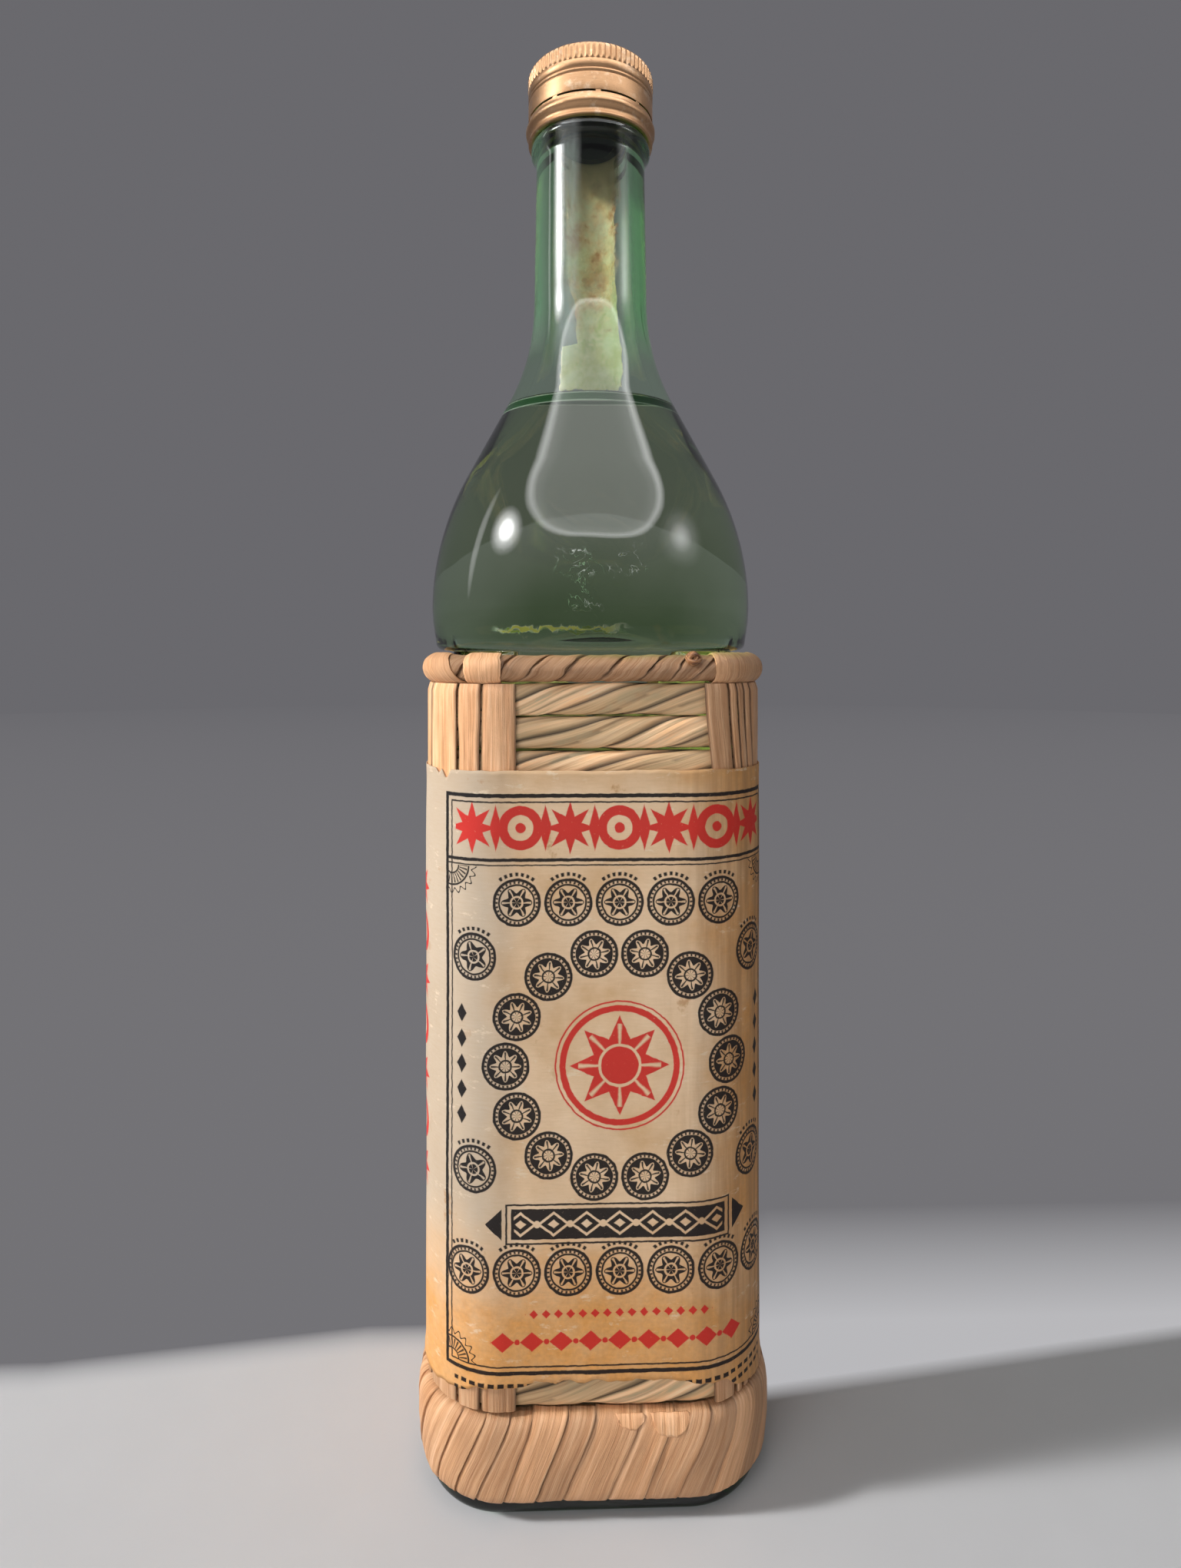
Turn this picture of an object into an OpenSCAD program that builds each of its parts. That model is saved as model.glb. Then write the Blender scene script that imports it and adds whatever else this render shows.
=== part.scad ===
// Square glass liqueur bottle in a woven straw cover, closed by a rolled-on screw cap.
// Millimetres, +Z up, origin at the centre of the base, front face towards -Y.

/* [Glass body] */
// Width of the square body across its flats
body_w = 65; // [63:0.5:67]
// Radius of the body's upright corners
corner_r = 12.5; // [11.5:0.5:14]
// Thickness of the glass wall
wall = 3.6; // [3:0.1:3.9]
// Height of the foot flange that the cover stands on
foot_h = 4.6; // [4:0.1:5.2]
// How far the foot flange stands out from the flats
foot_reach = 5.1; // [4.5:0.1:5.5]
// Rounding of the heel under the foot flange
heel_r = 2.2; // [1.6:0.1:2.6]
// Radius of the hollow under the base
punt_r = 26; // [22:0.5:28]
// Depth of the hollow under the base
punt_h = 3.6; // [2.5:0.1:4.5]
// Thickness of the glass floor over that hollow
floor_t = 4; // [3:0.1:5]

/* [Shoulder and neck] */
// Height of the ledge under the round shoulder
ledge_z = 184; // [170:0.5:190]
// How far the ledge's edge lies inside the shoulder's widest place
ledge_in = 0.9; // [0.4:0.1:1.4]
// Rounding of the ledge's outer edge
ledge_round = 2; // [1.2:0.1:2.6]
// Radius of the shoulder at its widest
bulb_r = 39.6; // [39.4:0.1:40.2]
// Height of the widest place above the ledge
bulb_rise = 10; // [8:0.5:12]
// Radius of the arc that the shoulder follows above its widest place
bulb_arc_r = 68; // [64:1:72]
// Slope of the shoulder's straight stretch from upright, in degrees
cone_angle = 28.5; // [27:0.5:30]
// Radius of the hollow arc from the shoulder into the neck
neck_arc_r = 57; // [50:1:62]
// Radius of the neck at its foot
neck_r = 14.2; // [13.8:0.1:14.6]
// Radius of the neck under its finish
neck_top_r = 13.7; // [13.4:0.1:14]
// Height of the liqueur inside
liquid_level = 242; // [225:0.5:250]

/* [Neck finish] */
// Height at which the neck finish begins
finish_z = 307; // [300:0.5:312]
// Radius of the ring below the cap
ring_r = 15; // [14.6:0.1:15.1]
// Height of the ring's slope, and of the slope above it
ring_slope_h = 2; // [1.6:0.1:2.2]
// Height of the ring's upright side
ring_side_h = 1.9; // [1.6:0.1:2.1]
// Radius of the finish between its beads
root_r = 13.9; // [13.7:0.1:14]
// Radius of the locking bead and of the thread's crest
crest_r = 14.9; // [14.7:0.1:15]
// Height of the finish from the foot of its ring to the glass lip
finish_h = 18.6; // [18.4:0.1:19]
// Radius of the bore through the finish
bore_r = 9.3; // [9:0.1:9.6]
// Climb of the thread in one turn
thread_pitch = 3.2; // [3:0.1:3.3]
// Turns of thread on the glass
thread_turns = 1.5; // [1:0.25:1.5]

/* [Closure] */
// Radius of the cap's outside
cap_r = 15.75; // [15.7:0.05:16]
// Height of cap and tamper band together
cap_h = 17.5; // [17.4:0.1:17.8]
// Thickness of the cap's metal
cap_wall = 0.4; // [0.35:0.05:0.45]
// Number of knurls round the cap's top
knurl_count = 72; // [60:4:84]
// Height of the knurled zone
knurl_h = 3; // [2.4:0.2:3.4]
// Height of the tamper band
band_h = 5.25; // [5.1:0.05:5.3]
// Radius of the tamper band's rolled bead
band_bead_r = 16.35; // [16.1:0.05:16.5]
// Width of the slit between cap and tamper band
slit_h = 0.5; // [0.4:0.05:0.6]
// Number of bridges across the slit
bridge_count = 9; // [6:1:12]
// Width of a bridge
bridge_w = 1.2; // [0.8:0.1:1.6]
// Thickness of the cap's sealing disc
liner_t = 1.5; // [1.3:0.1:1.55]
// Thickness of the pourer's flange
flange_t = 1.3; // [1.1:0.1:1.35]
// Length of the pourer's plug below the glass lip
plug_l = 13.6; // [12.6:0.2:16]
// Radius of the channel through the pourer
channel_r = 6.2; // [5:0.1:6.8]

/* [Straw cover] */
// Thickness of the twisted rush, from the glass outwards
rush_t = 4.4; // [3.8:0.1:4.6]
// Height of the twisted rush strand
rush_h = 6.4; // [5.8:0.1:6.4]
// Least climb of the rush strand from one row to the next
rush_pitch = 6.9; // [6.85:0.05:7.6]
// Thickness of a husk strip
husk_t = 0.5; // [0.4:0.05:0.6]
// Radius of the wrapped rim cord
rim_r = 3; // [2.8:0.05:3]
// Number of turns of husk round the rim cord
rim_turns = 38; // [30:1:42]
// Height of the husk band at the base
base_h = 17.6; // [16:0.2:19]
// How far the base band stands out past the foot flange
base_reach = 2; // [1.5:0.1:2.4]
// Number of husk strips in the base band
base_strips = 40; // [34:1:44]
// How far the corner straps reach along the flats from each corner's middle
strap_reach = 16.6; // [14:0.2:18]

/* [Paper] */
// Thickness of the label paper with its glue
paper_t = 0.25; // [0.2:0.05:0.35]
// Height of the label's lower edge above the floor
label_z = 27; // [26:0.5:36]
// Height of the label
label_h = 131.7; // [110:0.5:132]
// Width of the glued lap at the back
lap_w = 10; // [6:0.5:16]
// Width of the paper seal on the back of the neck
seal_w = 20; // [14:0.5:22]
// Height at which the paper seal begins
seal_z = 253; // [246:0.5:270]

/* [Hidden] */
$fn = 96;

// Clearances between pieces
fit_gap = 0.1;
rush_gap = 0.35;
strap_gap = 0.2;
rim_gap = 0.2;
flange_gap = 0.05;
plug_gap = 0.05;
slit_gap = 0.02;
seat_gap = 0.3;
// Overruns of cuts, and of pieces that run into each other within one solid
overrun = 1;
sink = 0.2;

// Plan: every layer round the body shares the centres of its four corners
body_half = body_w / 2;
core = body_half - corner_r;
side_l = 2 * core;

// Glass, worked out
foot_half = body_half + foot_reach;
punt_ball_r = (punt_r * punt_r + punt_h * punt_h) / (2 * punt_h);
bulb_z = ledge_z + bulb_rise;
ledge_r = bulb_r - ledge_in;
inner_round = 1.2;
trim_h = 8;
trim_in = 0.6;
trim_share = 0.6;
ledge_arc_shares = [0.6, 0.2];
throat_taper = 9;
throat_z = finish_z - throat_taper;
lip_z = finish_z + finish_h;
lip_round = 0.8;
ring_top_z = finish_z + ring_slope_h + ring_side_h;
bead_z = finish_z + 2 * ring_slope_h + ring_side_h;
bead_h = 1.4;
bead_slope = 0.8;
thread_base_w = 1.7;
thread_crest_w = 0.9;
thread_z = bead_z + bead_h + 4 * bead_slope;
thread_sink = 0.6;
thread_fade = 0.2;
thread_steps = 28;

// Closure, worked out
cap_z = ring_top_z + seat_gap + sink + fit_gap;
cap_top_z = cap_z + cap_h;
band_top_z = cap_z + band_h;
shell_z = band_top_z + slit_h;
top_round = 1.1;
knurl_depth = 0.25;
groove_drop = 6.3;
groove_step = 1;
groove_w = 0.5;
groove_depth = 0.16;
thread_depth = 0.55;
cap_thread_crest = root_r + thread_depth;
cap_thread_w = 0.7;
cap_thread_lead = 0.25;
cap_thread_base_w = 1.3;
liner_r = cap_r - cap_wall - fit_gap;
liner_z = cap_top_z - cap_wall - liner_t;
flange_r = root_r - lip_round;
plug_z = lip_z - plug_l;
plug_r = bore_r - 3 * plug_gap;
plug_rib_h = 0.8;
plug_rib_step = 3;
plug_ribs = 3;
band_catch = 0.7;
band_lip_r = root_r + band_catch;
band_edge = 0.3;
bridge_turn = -85;

// Straw, worked out: offsets are measured from the line of the corner centres
rush_off = corner_r + rush_gap + rush_t / 2;
rush_in = corner_r + rush_gap;
rush_out = rush_in + rush_t;
strap_in = rush_out + strap_gap;
strap_crown = 0.15;
strap_out = strap_in + husk_t + strap_crown;
label_in = strap_out + fit_gap;
label_out = label_in + paper_t;
rim_off = corner_r + rim_gap + rim_r;
cuff_in = rim_r + rim_gap;
cuff_out = cuff_in + husk_t;
rim_z = ledge_z - cuff_out - rim_gap;
rim_core_r = rim_r - 2 * husk_t - 2 * rim_gap;
rim_slant = 5;
rim_lap = 0.35;
// Half the angle that a husk wrap leaves open towards the glass
wrap_open = 45;
base_z = foot_h + rim_gap;
base_top_z = base_z + base_h;
base_slant = 6;
base_lap = 0.4;
base_out = foot_half - core + base_reach;
rush_bottom_z = base_top_z + seat_gap;
strap_z = base_top_z + seat_gap;
strap_top_z = rim_z - cuff_out - seat_gap;

// Edges of the husk straps at a corner, as shares of the reach from the corner's middle
left_strap_shares = [[-1, -0.6], [-0.57, -0.4], [-0.37, 0.2], [0.23, 0.54], [0.57, 1]];
right_strap_shares = [
    [-0.5, -0.17], [-0.14, -0.03], [0, 0.11], [0.14, 0.27], [0.3, 0.6], [0.63, 1]
];
// Rows of the tamper band's bead, as shares of the band's height
band_height_shares = [0.36, 0.52, 0.7, 0.88];
// Part of its own width that a husk wrap covers before it steps down to the next
lap_share = 0.95;
// Outline of the base band: shares of its height, and of how far it bulges
base_height_shares = [0, 0.02, 0.25, 0.6, 0.88, 1, 1];
base_bulge_shares = [-2.4, -0.6, 0.1, 0.25, 0, -0.8, -2.4];
base_bulge = 1.6;

glass_green = [0.1, 0.28, 0.18];
gold = [0.78, 0.66, 0.4];
husk_tan = [0.86, 0.68, 0.48];
rush_olive = [0.66, 0.56, 0.34];
paper_cream = [0.93, 0.85, 0.66];

// Points of an arc about a centre, from one angle to another
function arc(cx, cy, r, a0, a1, n) = [
    for (i = [0:n]) let (a = a0 + (a1 - a0) * i / n) [cx + r * cos(a), cy + r * sin(a)]
];

function reversed(v) = [for (i = [len(v) - 1:-1:0]) v[i]];

function turned(p, a) = [p.x * cos(a) - p.y * sin(a), p.x * sin(a) + p.y * cos(a)];

// Route round the square plan: one leg is a flat and the corner after it, front leg first
function leg_l(off) = side_l + PI * off / 2;
function leg_no(s, off) = floor(s / leg_l(off));
function leg_s(s, off) = s - leg_no(s, off) * leg_l(off);
function route_angle(s, off) =
    90 * leg_no(s, off) - 90 + 90 * max(0, leg_s(s, off) - side_l) / (PI * off / 2);
function route_core(s, off) =
    turned([min(leg_s(s, off), side_l) - core, -core], 90 * leg_no(s, off));
function route_point(s, off, out, z) =
    let (c = route_core(s, off), a = route_angle(s, off))
    [c.x + out * cos(a), c.y + out * sin(a), z];

// Faces of a tube of sections, closed on itself or with two flat ends
function tube_faces(rings, n, closed) = concat(
    [for (i = [0:(closed ? rings - 1 : rings - 2)], j = [0:n - 1], h = [0, 1])
        let (a = i * n, b = ((i + 1) % rings) * n, k = (j + 1) % n)
        h == 0 ? [a + j, b + j, a + k] : [a + k, b + j, b + k]],
    closed ? [] : [[for (j = [0:n - 1]) j], [for (j = [n - 1:-1:0]) (rings - 1) * n + j]]
);

module tube(sections, closed) {
    n = len(sections[0]);
    points = [for (ring = sections, p = ring) p];
    polyhedron(points, tube_faces(len(sections), n, closed), convexity = 10);
}

// Rounded square plan, with its corners about the shared centres
module plan(half) {
    square([2 * half, side_l], center = true);
    square([side_l, 2 * half], center = true);
    for (x = [-core, core], y = [-core, core]) translate([x, y]) circle(half - core);
}

module prism(half, z0, z1) {
    translate([0, 0, z0]) linear_extrude(z1 - z0) plan(half);
}

// A profile carried round the four flats and corners
module round_plan() {
    for (a = [0, 90, 180, 270]) rotate(a) translate([core, core, 0]) {
        rotate_extrude(angle = 90) children();
        rotate([90, 0, 0]) linear_extrude(side_l) children();
    }
}

// Side of shoulder and neck, inset by d, from the bulb's widest place to the finish
bulb_end = [
    bulb_r - bulb_arc_r * (1 - cos(cone_angle)),
    bulb_z + bulb_arc_r * sin(cone_angle)
];
cone_end_r = neck_r + neck_arc_r * (1 - cos(cone_angle));
neck_z = bulb_end.y + (bulb_end.x - cone_end_r) / tan(cone_angle)
    + neck_arc_r * sin(cone_angle);

function bulb_side(d) =
    arc(bulb_r - bulb_arc_r, bulb_z, bulb_arc_r - d, 0, cone_angle, 8);
function neck_side(d) =
    arc(neck_r + neck_arc_r, neck_z, neck_arc_r + d, 180 + cone_angle, 180, 8);

function ledge_side(d) =
    let (
        r = max(ledge_round - d, inner_round),
        z = ledge_z + d + r,
        rise = bulb_z - z,
        out = bulb_r - ledge_r,
        big = (rise * rise + out * out) / (2 * out),
        lean = asin(rise / big)
    )
    concat(
        [[0, ledge_z + d]],
        arc(ledge_r - d - r, z, r, -90, 0, 4),
        arc(bulb_r - d - big, bulb_z, big, -lean * ledge_arc_shares[0], -lean * ledge_arc_shares[1], 1)
    );

finish_outline = [
    [neck_top_r, finish_z],
    [ring_r, finish_z + ring_slope_h],
    [ring_r, ring_top_z],
    [root_r, ring_top_z + ring_slope_h / 2],
    [root_r, bead_z],
    [crest_r, bead_z + bead_slope],
    [crest_r, bead_z + bead_h],
    [root_r, bead_z + bead_h + bead_slope]
];

module shoulder_and_neck() {
    rotate_extrude() polygon(concat(
        ledge_side(0), bulb_side(0), neck_side(0), finish_outline,
        arc(root_r - lip_round, lip_z - lip_round, lip_round, 0, 90, 4),
        [[0, lip_z]]
    ));
}

// Takes the square body's corners in towards the round shoulder
module corner_trim(d) {
    reach = core * sqrt(2) + corner_r + overrun;
    slim = ledge_r - trim_in;
    rotate_extrude() polygon([
        [0, 0],
        [reach - d, 0],
        [reach - d, ledge_z - trim_h],
        [slim + (reach - slim) * trim_share - d, ledge_z - trim_h / 2],
        [slim - d, ledge_z],
        [slim - d, ledge_z + wall + 2 * overrun],
        [0, ledge_z + wall + 2 * overrun]
    ]);
}

module punt_ball(r) {
    translate([0, 0, punt_h - punt_ball_r]) sphere(r);
}

module foot() {
    r = foot_half - core;
    round_plan() polygon(concat(
        [[0, 0]],
        arc(r - heel_r, heel_r, heel_r, -90, 0, 5),
        [[r, foot_h], [0, foot_h]]
    ));
    translate([-core, -core, 0]) cube([side_l, side_l, foot_h]);
}

// Space inside the glass, inset by a gap for what fills it
module hollow(gap) {
    d = wall + gap;
    difference() {
        intersection() {
            prism(body_half - d, foot_h + gap, ledge_z + d + overrun);
            corner_trim(d);
        }
        punt_ball(punt_ball_r + floor_t + gap);
    }
    rotate_extrude() polygon(concat(
        ledge_side(d), bulb_side(d), neck_side(d),
        [
            [neck_r - d, throat_z - throat_taper],
            [bore_r - gap, throat_z],
            [bore_r - gap, lip_z + overrun],
            [0, lip_z + overrun]
        ]
    ));
}

// Thread ridge: a four-sided section that climbs, and sinks into its wall at both ends
module ridge(z, turns, pitch, foot_r, crest, foot_w, crest_w, fade) {
    n = ceil(turns * thread_steps);
    tube([for (i = [0:n])
        let (
            a = 360 * turns * i / n,
            zi = z + pitch * turns * i / n,
            c = i == 0 || i == n ? fade : crest
        )
        [
            [foot_r * cos(a), foot_r * sin(a), zi - foot_w / 2],
            [c * cos(a), c * sin(a), zi - crest_w / 2],
            [c * cos(a), c * sin(a), zi + crest_w / 2],
            [foot_r * cos(a), foot_r * sin(a), zi + foot_w / 2]
        ]
    ], false);
}

module glass_bottle() {
    color(glass_green) difference() {
        union() {
            foot();
            intersection() {
                prism(body_half, foot_h - overrun, ledge_z + overrun);
                corner_trim(0);
            }
            shoulder_and_neck();
            ridge(thread_z, thread_turns, thread_pitch, root_r - thread_sink, crest_r,
                thread_base_w, thread_crest_w, root_r - thread_fade);
        }
        hollow(0);
        punt_ball(punt_ball_r);
    }
}

module liqueur() {
    color([0.9, 0.9, 0.8]) intersection() {
        hollow(fit_gap);
        cylinder(h = liquid_level, r = 2 * body_w);
    }
}

module pourer_insert() {
    rib_r = bore_r - plug_gap;
    flange_z = lip_z + flange_gap;
    color([0.07, 0.07, 0.07]) rotate_extrude() polygon(concat(
        [
            [channel_r, plug_z],
            [plug_r - lip_round, plug_z],
            [plug_r, plug_z + lip_round]
        ],
        [for (i = [0:plug_ribs - 1], p = [
            [plug_r, 0], [rib_r, plug_rib_h / 2], [rib_r, plug_rib_h], [plug_r, 1.5 * plug_rib_h]
        ]) [p.x, plug_z + (i + 1) * plug_rib_step + p.y]],
        [
            [plug_r, flange_z],
            [flange_r, flange_z],
            [flange_r, flange_z + flange_t - lip_round / 2],
            [flange_r - lip_round / 2, flange_z + flange_t],
            [channel_r, flange_z + flange_t]
        ]
    ));
}

module cap_liner() {
    edge = liner_t / 4;
    top = liner_t - fit_gap;
    color([0.92, 0.92, 0.9]) translate([0, 0, liner_z]) rotate_extrude() polygon([
        [0, 0], [liner_r - edge, 0], [liner_r, edge], [liner_r, top - top_round / 2],
        [liner_r - top_round / 2, top], [0, top]
    ]);
}

// Ring of upright knurls, as one star round a plain bore
module knurls(z) {
    n = knurl_count;
    translate([0, 0, z]) linear_extrude(knurl_h) difference() {
        polygon([for (i = [0:2 * n - 1])
            let (r = i % 2 == 0 ? cap_r + knurl_depth / 2 : cap_r - knurl_depth)
            [r * cos(180 * i / n), r * sin(180 * i / n)]
        ]);
        circle(cap_r - knurl_depth - groove_depth / 4);
    }
}

module cap_shell() {
    knurl_z = cap_top_z - top_round - knurl_h;
    slim = cap_r - knurl_depth / 2 - fit_gap / 2;
    inner = cap_r - cap_wall;
    color(gold) union() {
        rotate_extrude() polygon(concat(
            [[inner, shell_z], [cap_r, shell_z]],
            [for (i = [1, 0], k = [-1, 0, 1])
                [cap_r - (k == 0 ? groove_depth : 0),
                    cap_top_z - groove_drop - i * groove_step + k * groove_w / 2]],
            [
                [cap_r, knurl_z - groove_w],
                [slim, knurl_z - groove_w / 2],
                [slim, knurl_z + knurl_h]
            ],
            arc(cap_r - top_round, cap_top_z - top_round, top_round, 0, 90, 5),
            [
                [0, cap_top_z],
                [0, cap_top_z - cap_wall],
                [inner - top_round / 2, cap_top_z - cap_wall],
                [inner, cap_top_z - cap_wall - top_round / 2]
            ]
        ));
        knurls(knurl_z);
        rotate(180 + 360 * cap_thread_lead)
            ridge(thread_z + cap_thread_lead * thread_pitch, thread_turns - cap_thread_lead,
                thread_pitch, inner + sink, cap_thread_crest, cap_thread_base_w,
                cap_thread_w, inner + sink / 2);
    }
}

module tamper_band() {
    rows = [for (share = band_height_shares) cap_z + band_h * share];
    outer = [
        [cap_r - band_edge, cap_z],
        [cap_r, cap_z + band_edge],
        [cap_r - band_edge, cap_z + 3 * band_edge],
        [cap_r - band_edge, rows[0]],
        [band_bead_r, rows[1]],
        [band_bead_r, rows[2]],
        [cap_r, rows[3]],
        [cap_r, band_top_z]
    ];
    inner = [for (i = [len(outer) - 1:-1:2]) [outer[i].x - cap_wall, outer[i].y]];
    color(gold) {
        rotate_extrude() polygon(concat(
            [[band_lip_r, cap_z]], outer, inner, [[band_lip_r, cap_z + cap_wall]]
        ));
        for (i = [0:bridge_count - 1])
            rotate(bridge_turn + 360 * i / bridge_count)
                intersection() {
                    translate([0, 0, band_top_z - sink]) difference() {
                        cylinder(h = slit_h + sink - slit_gap, r = cap_r - slit_gap);
                        translate([0, 0, -overrun])
                            cylinder(h = slit_h + 2 * overrun, r = cap_r - cap_wall + slit_gap);
                    }
                    translate([0, -bridge_w / 2, band_top_z - overrun])
                        cube([cap_r + overrun, bridge_w, slit_h + 2 * overrun]);
                }
    }
}

module neck_seal() {
    near = fit_gap;
    far = fit_gap + paper_t;
    top = finish_z - seat_gap;
    color([0.85, 0.8, 0.66]) intersection() {
        rotate_extrude() polygon(concat(
            [bulb_end + [far, 0]], neck_side(-far), [[neck_top_r + far, finish_z]],
            [[neck_top_r + near, finish_z]], reversed(neck_side(-near)), [bulb_end + [near, 0]]
        ));
        translate([-seal_w / 2, 0, seal_z]) cube([seal_w, 2 * neck_r, top - seal_z]);
    }
}

module label() {
    half_in = core + label_in;
    half_out = core + label_out;
    step = 2 * paper_t;
    color(paper_cream) translate([0, 0, label_z]) linear_extrude(label_h) {
        difference() {
            plan(half_out);
            plan(half_in);
            translate([-step, half_in - overrun]) square([2 * step, 2 * overrun + paper_t]);
        }
        translate([step - paper_t, half_in]) square([2 * paper_t, step + fit_gap]);
        translate([-lap_w, half_out + fit_gap]) square([lap_w + step, paper_t]);
    }
}

// Twisted rush wound round the body in one unbroken strand: its rows lie level on
// three sides, and it climbs to the next row along the back
rush_leg = leg_l(rush_off);
rush_a = rush_t / 2;
rush_b = rush_h / (2 * sin(60));
rush_z = rush_bottom_z + rush_h / 2;
rush_space = strap_top_z - rush_bottom_z - rush_h;
rush_rows = 1 + floor(rush_space / rush_pitch);
rush_climb = rush_space / (rush_rows - 1);
// Stops along one turn, from the end of the back flat: the level run, then the climb
function rush_stops() = concat(
    [for (leg = [0:3], c = [0:5]) leg * rush_leg + side_l + c * (rush_leg - side_l) / 5],
    [4 * rush_leg + rush_h, 4 * rush_leg + side_l - rush_h]
);
function rush_row_z(row, s) =
    rush_z + rush_climb * (row + (s > 4 * rush_leg + side_l / 2 ? 1 : 0));
rush_route = [
    for (row = [0:rush_rows - 1], s = concat(row == 0 ? [side_l - rush_h] : [], rush_stops()))
        if (row < rush_rows - 1 || s < 4 * rush_leg + side_l / 2)
            [s + (2 + 4 * row) * rush_leg, rush_row_z(row, s)]
];
rush_sections = [
    for (stop = rush_route)
        [for (j = [0:5])
            route_point(stop[0], rush_off, rush_off + rush_a * cos(60 * j),
                stop[1] + rush_b * sin(60 * j))]
];
// Least distance between points of one turn and of the next
rush_turn_n = len(rush_stops());
rush_least_gap = min([
    for (i = [0:len(rush_sections) - rush_turn_n], k = [rush_turn_n - 2:rush_turn_n + 2])
        if (i + k < len(rush_sections))
            min([for (p = rush_sections[i], q = rush_sections[i + k]) norm(p - q)])
]);
echo(rush_least_gap = rush_least_gap);  // rush_winding

module rush_winding() {
    color(rush_olive) tube(rush_sections, false);
}

module rim_core() {
    color(rush_olive) round_plan() translate([rim_off, rim_z]) circle(rim_core_r);
}

// Husk wound obliquely round the rim cord: each turn laps over the start of the next
module rim_wrap() {
    loop = 4 * leg_l(rim_off);
    outer_n = 9;
    inner_r = rim_core_r + husk_t + fit_gap;
    reach = 180 - wrap_open;
    angles = [for (j = [0:outer_n - 1]) -reach + 2 * reach * j / (outer_n - 1)];
    color(husk_tan) tube([
        for (i = [0:rim_turns - 1], lap = [0, 1])
            let (s = loop * (i + lap_share * lap) / rim_turns, r = rim_r - rim_lap * (1 - lap))
            concat(
                [for (a = angles) wrap_point(s + rim_slant * a / 180, loop, r, a)],
                [for (a = reversed(angles))
                    wrap_point(s + rim_slant * a / 180, loop, inner_r, a)]
            )
    ], true);
}

function wrap_point(s, loop, r, a) =
    route_point((s + loop) % loop, rim_off, rim_off + r * cos(a), rim_z + r * sin(a));

// Knot where the husk round the rim cord is tied off
knot_r = 1.2;
knot_bead_r = 0.65;
knot_lean = 55;

module rim_knot() {
    lift = rim_r + knot_bead_r + fit_gap;
    color([0.5, 0.3, 0.14])
        translate([core + knot_r / 2, -core - rim_off - lift * sin(knot_lean),
            rim_z + lift * cos(knot_lean)])
        rotate([knot_lean, 0, 0]) {
            rotate_extrude() translate([knot_r, 0]) circle(knot_bead_r);
            translate([0, 0, knot_bead_r]) sphere(knot_r);
        }
}

// Husk straps that run down one corner of the cover, with a crowned cross-section
module straps(corner, shares) {
    middle = side_l + PI * strap_in / 4;
    leg = leg_l(strap_in);
    n = 6;
    color(husk_tan) for (e = shares) {
        s0 = corner * leg + middle + e[0] * strap_reach;
        s1 = corner * leg + middle + e[1] * strap_reach;
        translate([0, 0, strap_z]) linear_extrude(strap_top_z - strap_z) polygon(concat(
            [for (i = [0:n]) strap_point(s0 + (s1 - s0) * i / n,
                strap_in + husk_t + strap_crown * sin(180 * i / n))],
            [for (i = [n:-1:0]) strap_point(s0 + (s1 - s0) * i / n, strap_in)]
        ));
    }
}

function strap_point(s, out) = let (p = route_point(s, strap_in, out, 0)) [p.x, p.y];

module straps_front_left() {
    straps(3, left_strap_shares);
}

module straps_front_right() {
    straps(0, right_strap_shares);
}

module straps_back_left() {
    straps(2, right_strap_shares);
}

module straps_back_right() {
    straps(1, left_strap_shares);
}

// Section of a husk cuff over the rim cord, open towards the glass
module cuff_section() {
    difference() {
        circle(cuff_out);
        circle(cuff_in);
        polygon([
            [0, 0],
            2 * cuff_out * [-cos(wrap_open), -sin(wrap_open)],
            [-2 * cuff_out, 0],
            2 * cuff_out * [-cos(wrap_open), sin(wrap_open)]
        ]);
    }
}

// Cuff round the rim cord at a corner, between two angles of its quarter turn
module cuff(corner, from, to) {
    color(husk_tan) rotate(90 * corner) translate([core, -core, 0]) rotate(from - 90)
        rotate_extrude(angle = to - from) translate([rim_off, rim_z]) cuff_section();
}

// Angles between which a long cuff, a short one and a folded strap lie, within a
// corner's quarter turn
cuff_long = [18, 76];
cuff_short = [6, 54];
cuff_fold = [64, 89];

module cuff_front_left() {
    cuff(3, cuff_short[0], cuff_short[1]);
}

module cuff_front_right() {
    cuff(0, cuff_long[0], cuff_long[1]);
}

module cuff_back_left() {
    cuff(2, cuff_long[0], cuff_long[1]);
}

module cuff_back_right() {
    cuff(1, cuff_short[0], cuff_short[1]);
}

// End of a corner strap that is folded over the rim cord
module strap_fold() {
    cuff(3, cuff_fold[0], cuff_fold[1]);
}

module base_core() {
    inner = corner_r + rush_gap;
    outer = base_out - base_bulge - 2 * husk_t;
    r = base_h / 5;
    z0 = base_z + 2 * husk_t;
    z1 = base_top_z - 2 * husk_t;
    color(rush_olive) round_plan() polygon(concat(
        [[inner, z0]],
        arc(outer - r, z0 + r, r, -90, 0, 4),
        arc(outer - r, z1 - r, r, 0, 90, 4),
        [[inner, z1]]
    ));
}

// Slanting husk strips round the base, each lapping over the start of the next
module base_wrap() {
    loop = 4 * leg_l(base_out);
    n = len(base_height_shares);
    color(husk_tan) tube([
        for (i = [0:base_strips - 1], lap = [0, 1])
            let (s = loop * (i + lap_share * lap) / base_strips, lift = base_lap * lap)
            concat(
                [for (j = [0:n - 1]) base_point(s, loop, j, lift, 0)],
                [for (j = [n - 1:-1:0]) base_point(s, loop, j, 0, husk_t)]
            )
    ], true);
}

function base_point(s, loop, j, lift, inset) =
    let (
        share = base_height_shares[j],
        z = base_z + base_h * share + (share < 0.5 ? inset : -inset)
    )
    route_point((s + base_slant * share + loop) % loop, base_out,
        base_out + base_bulge * base_bulge_shares[j] + lift - inset, z);

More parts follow.
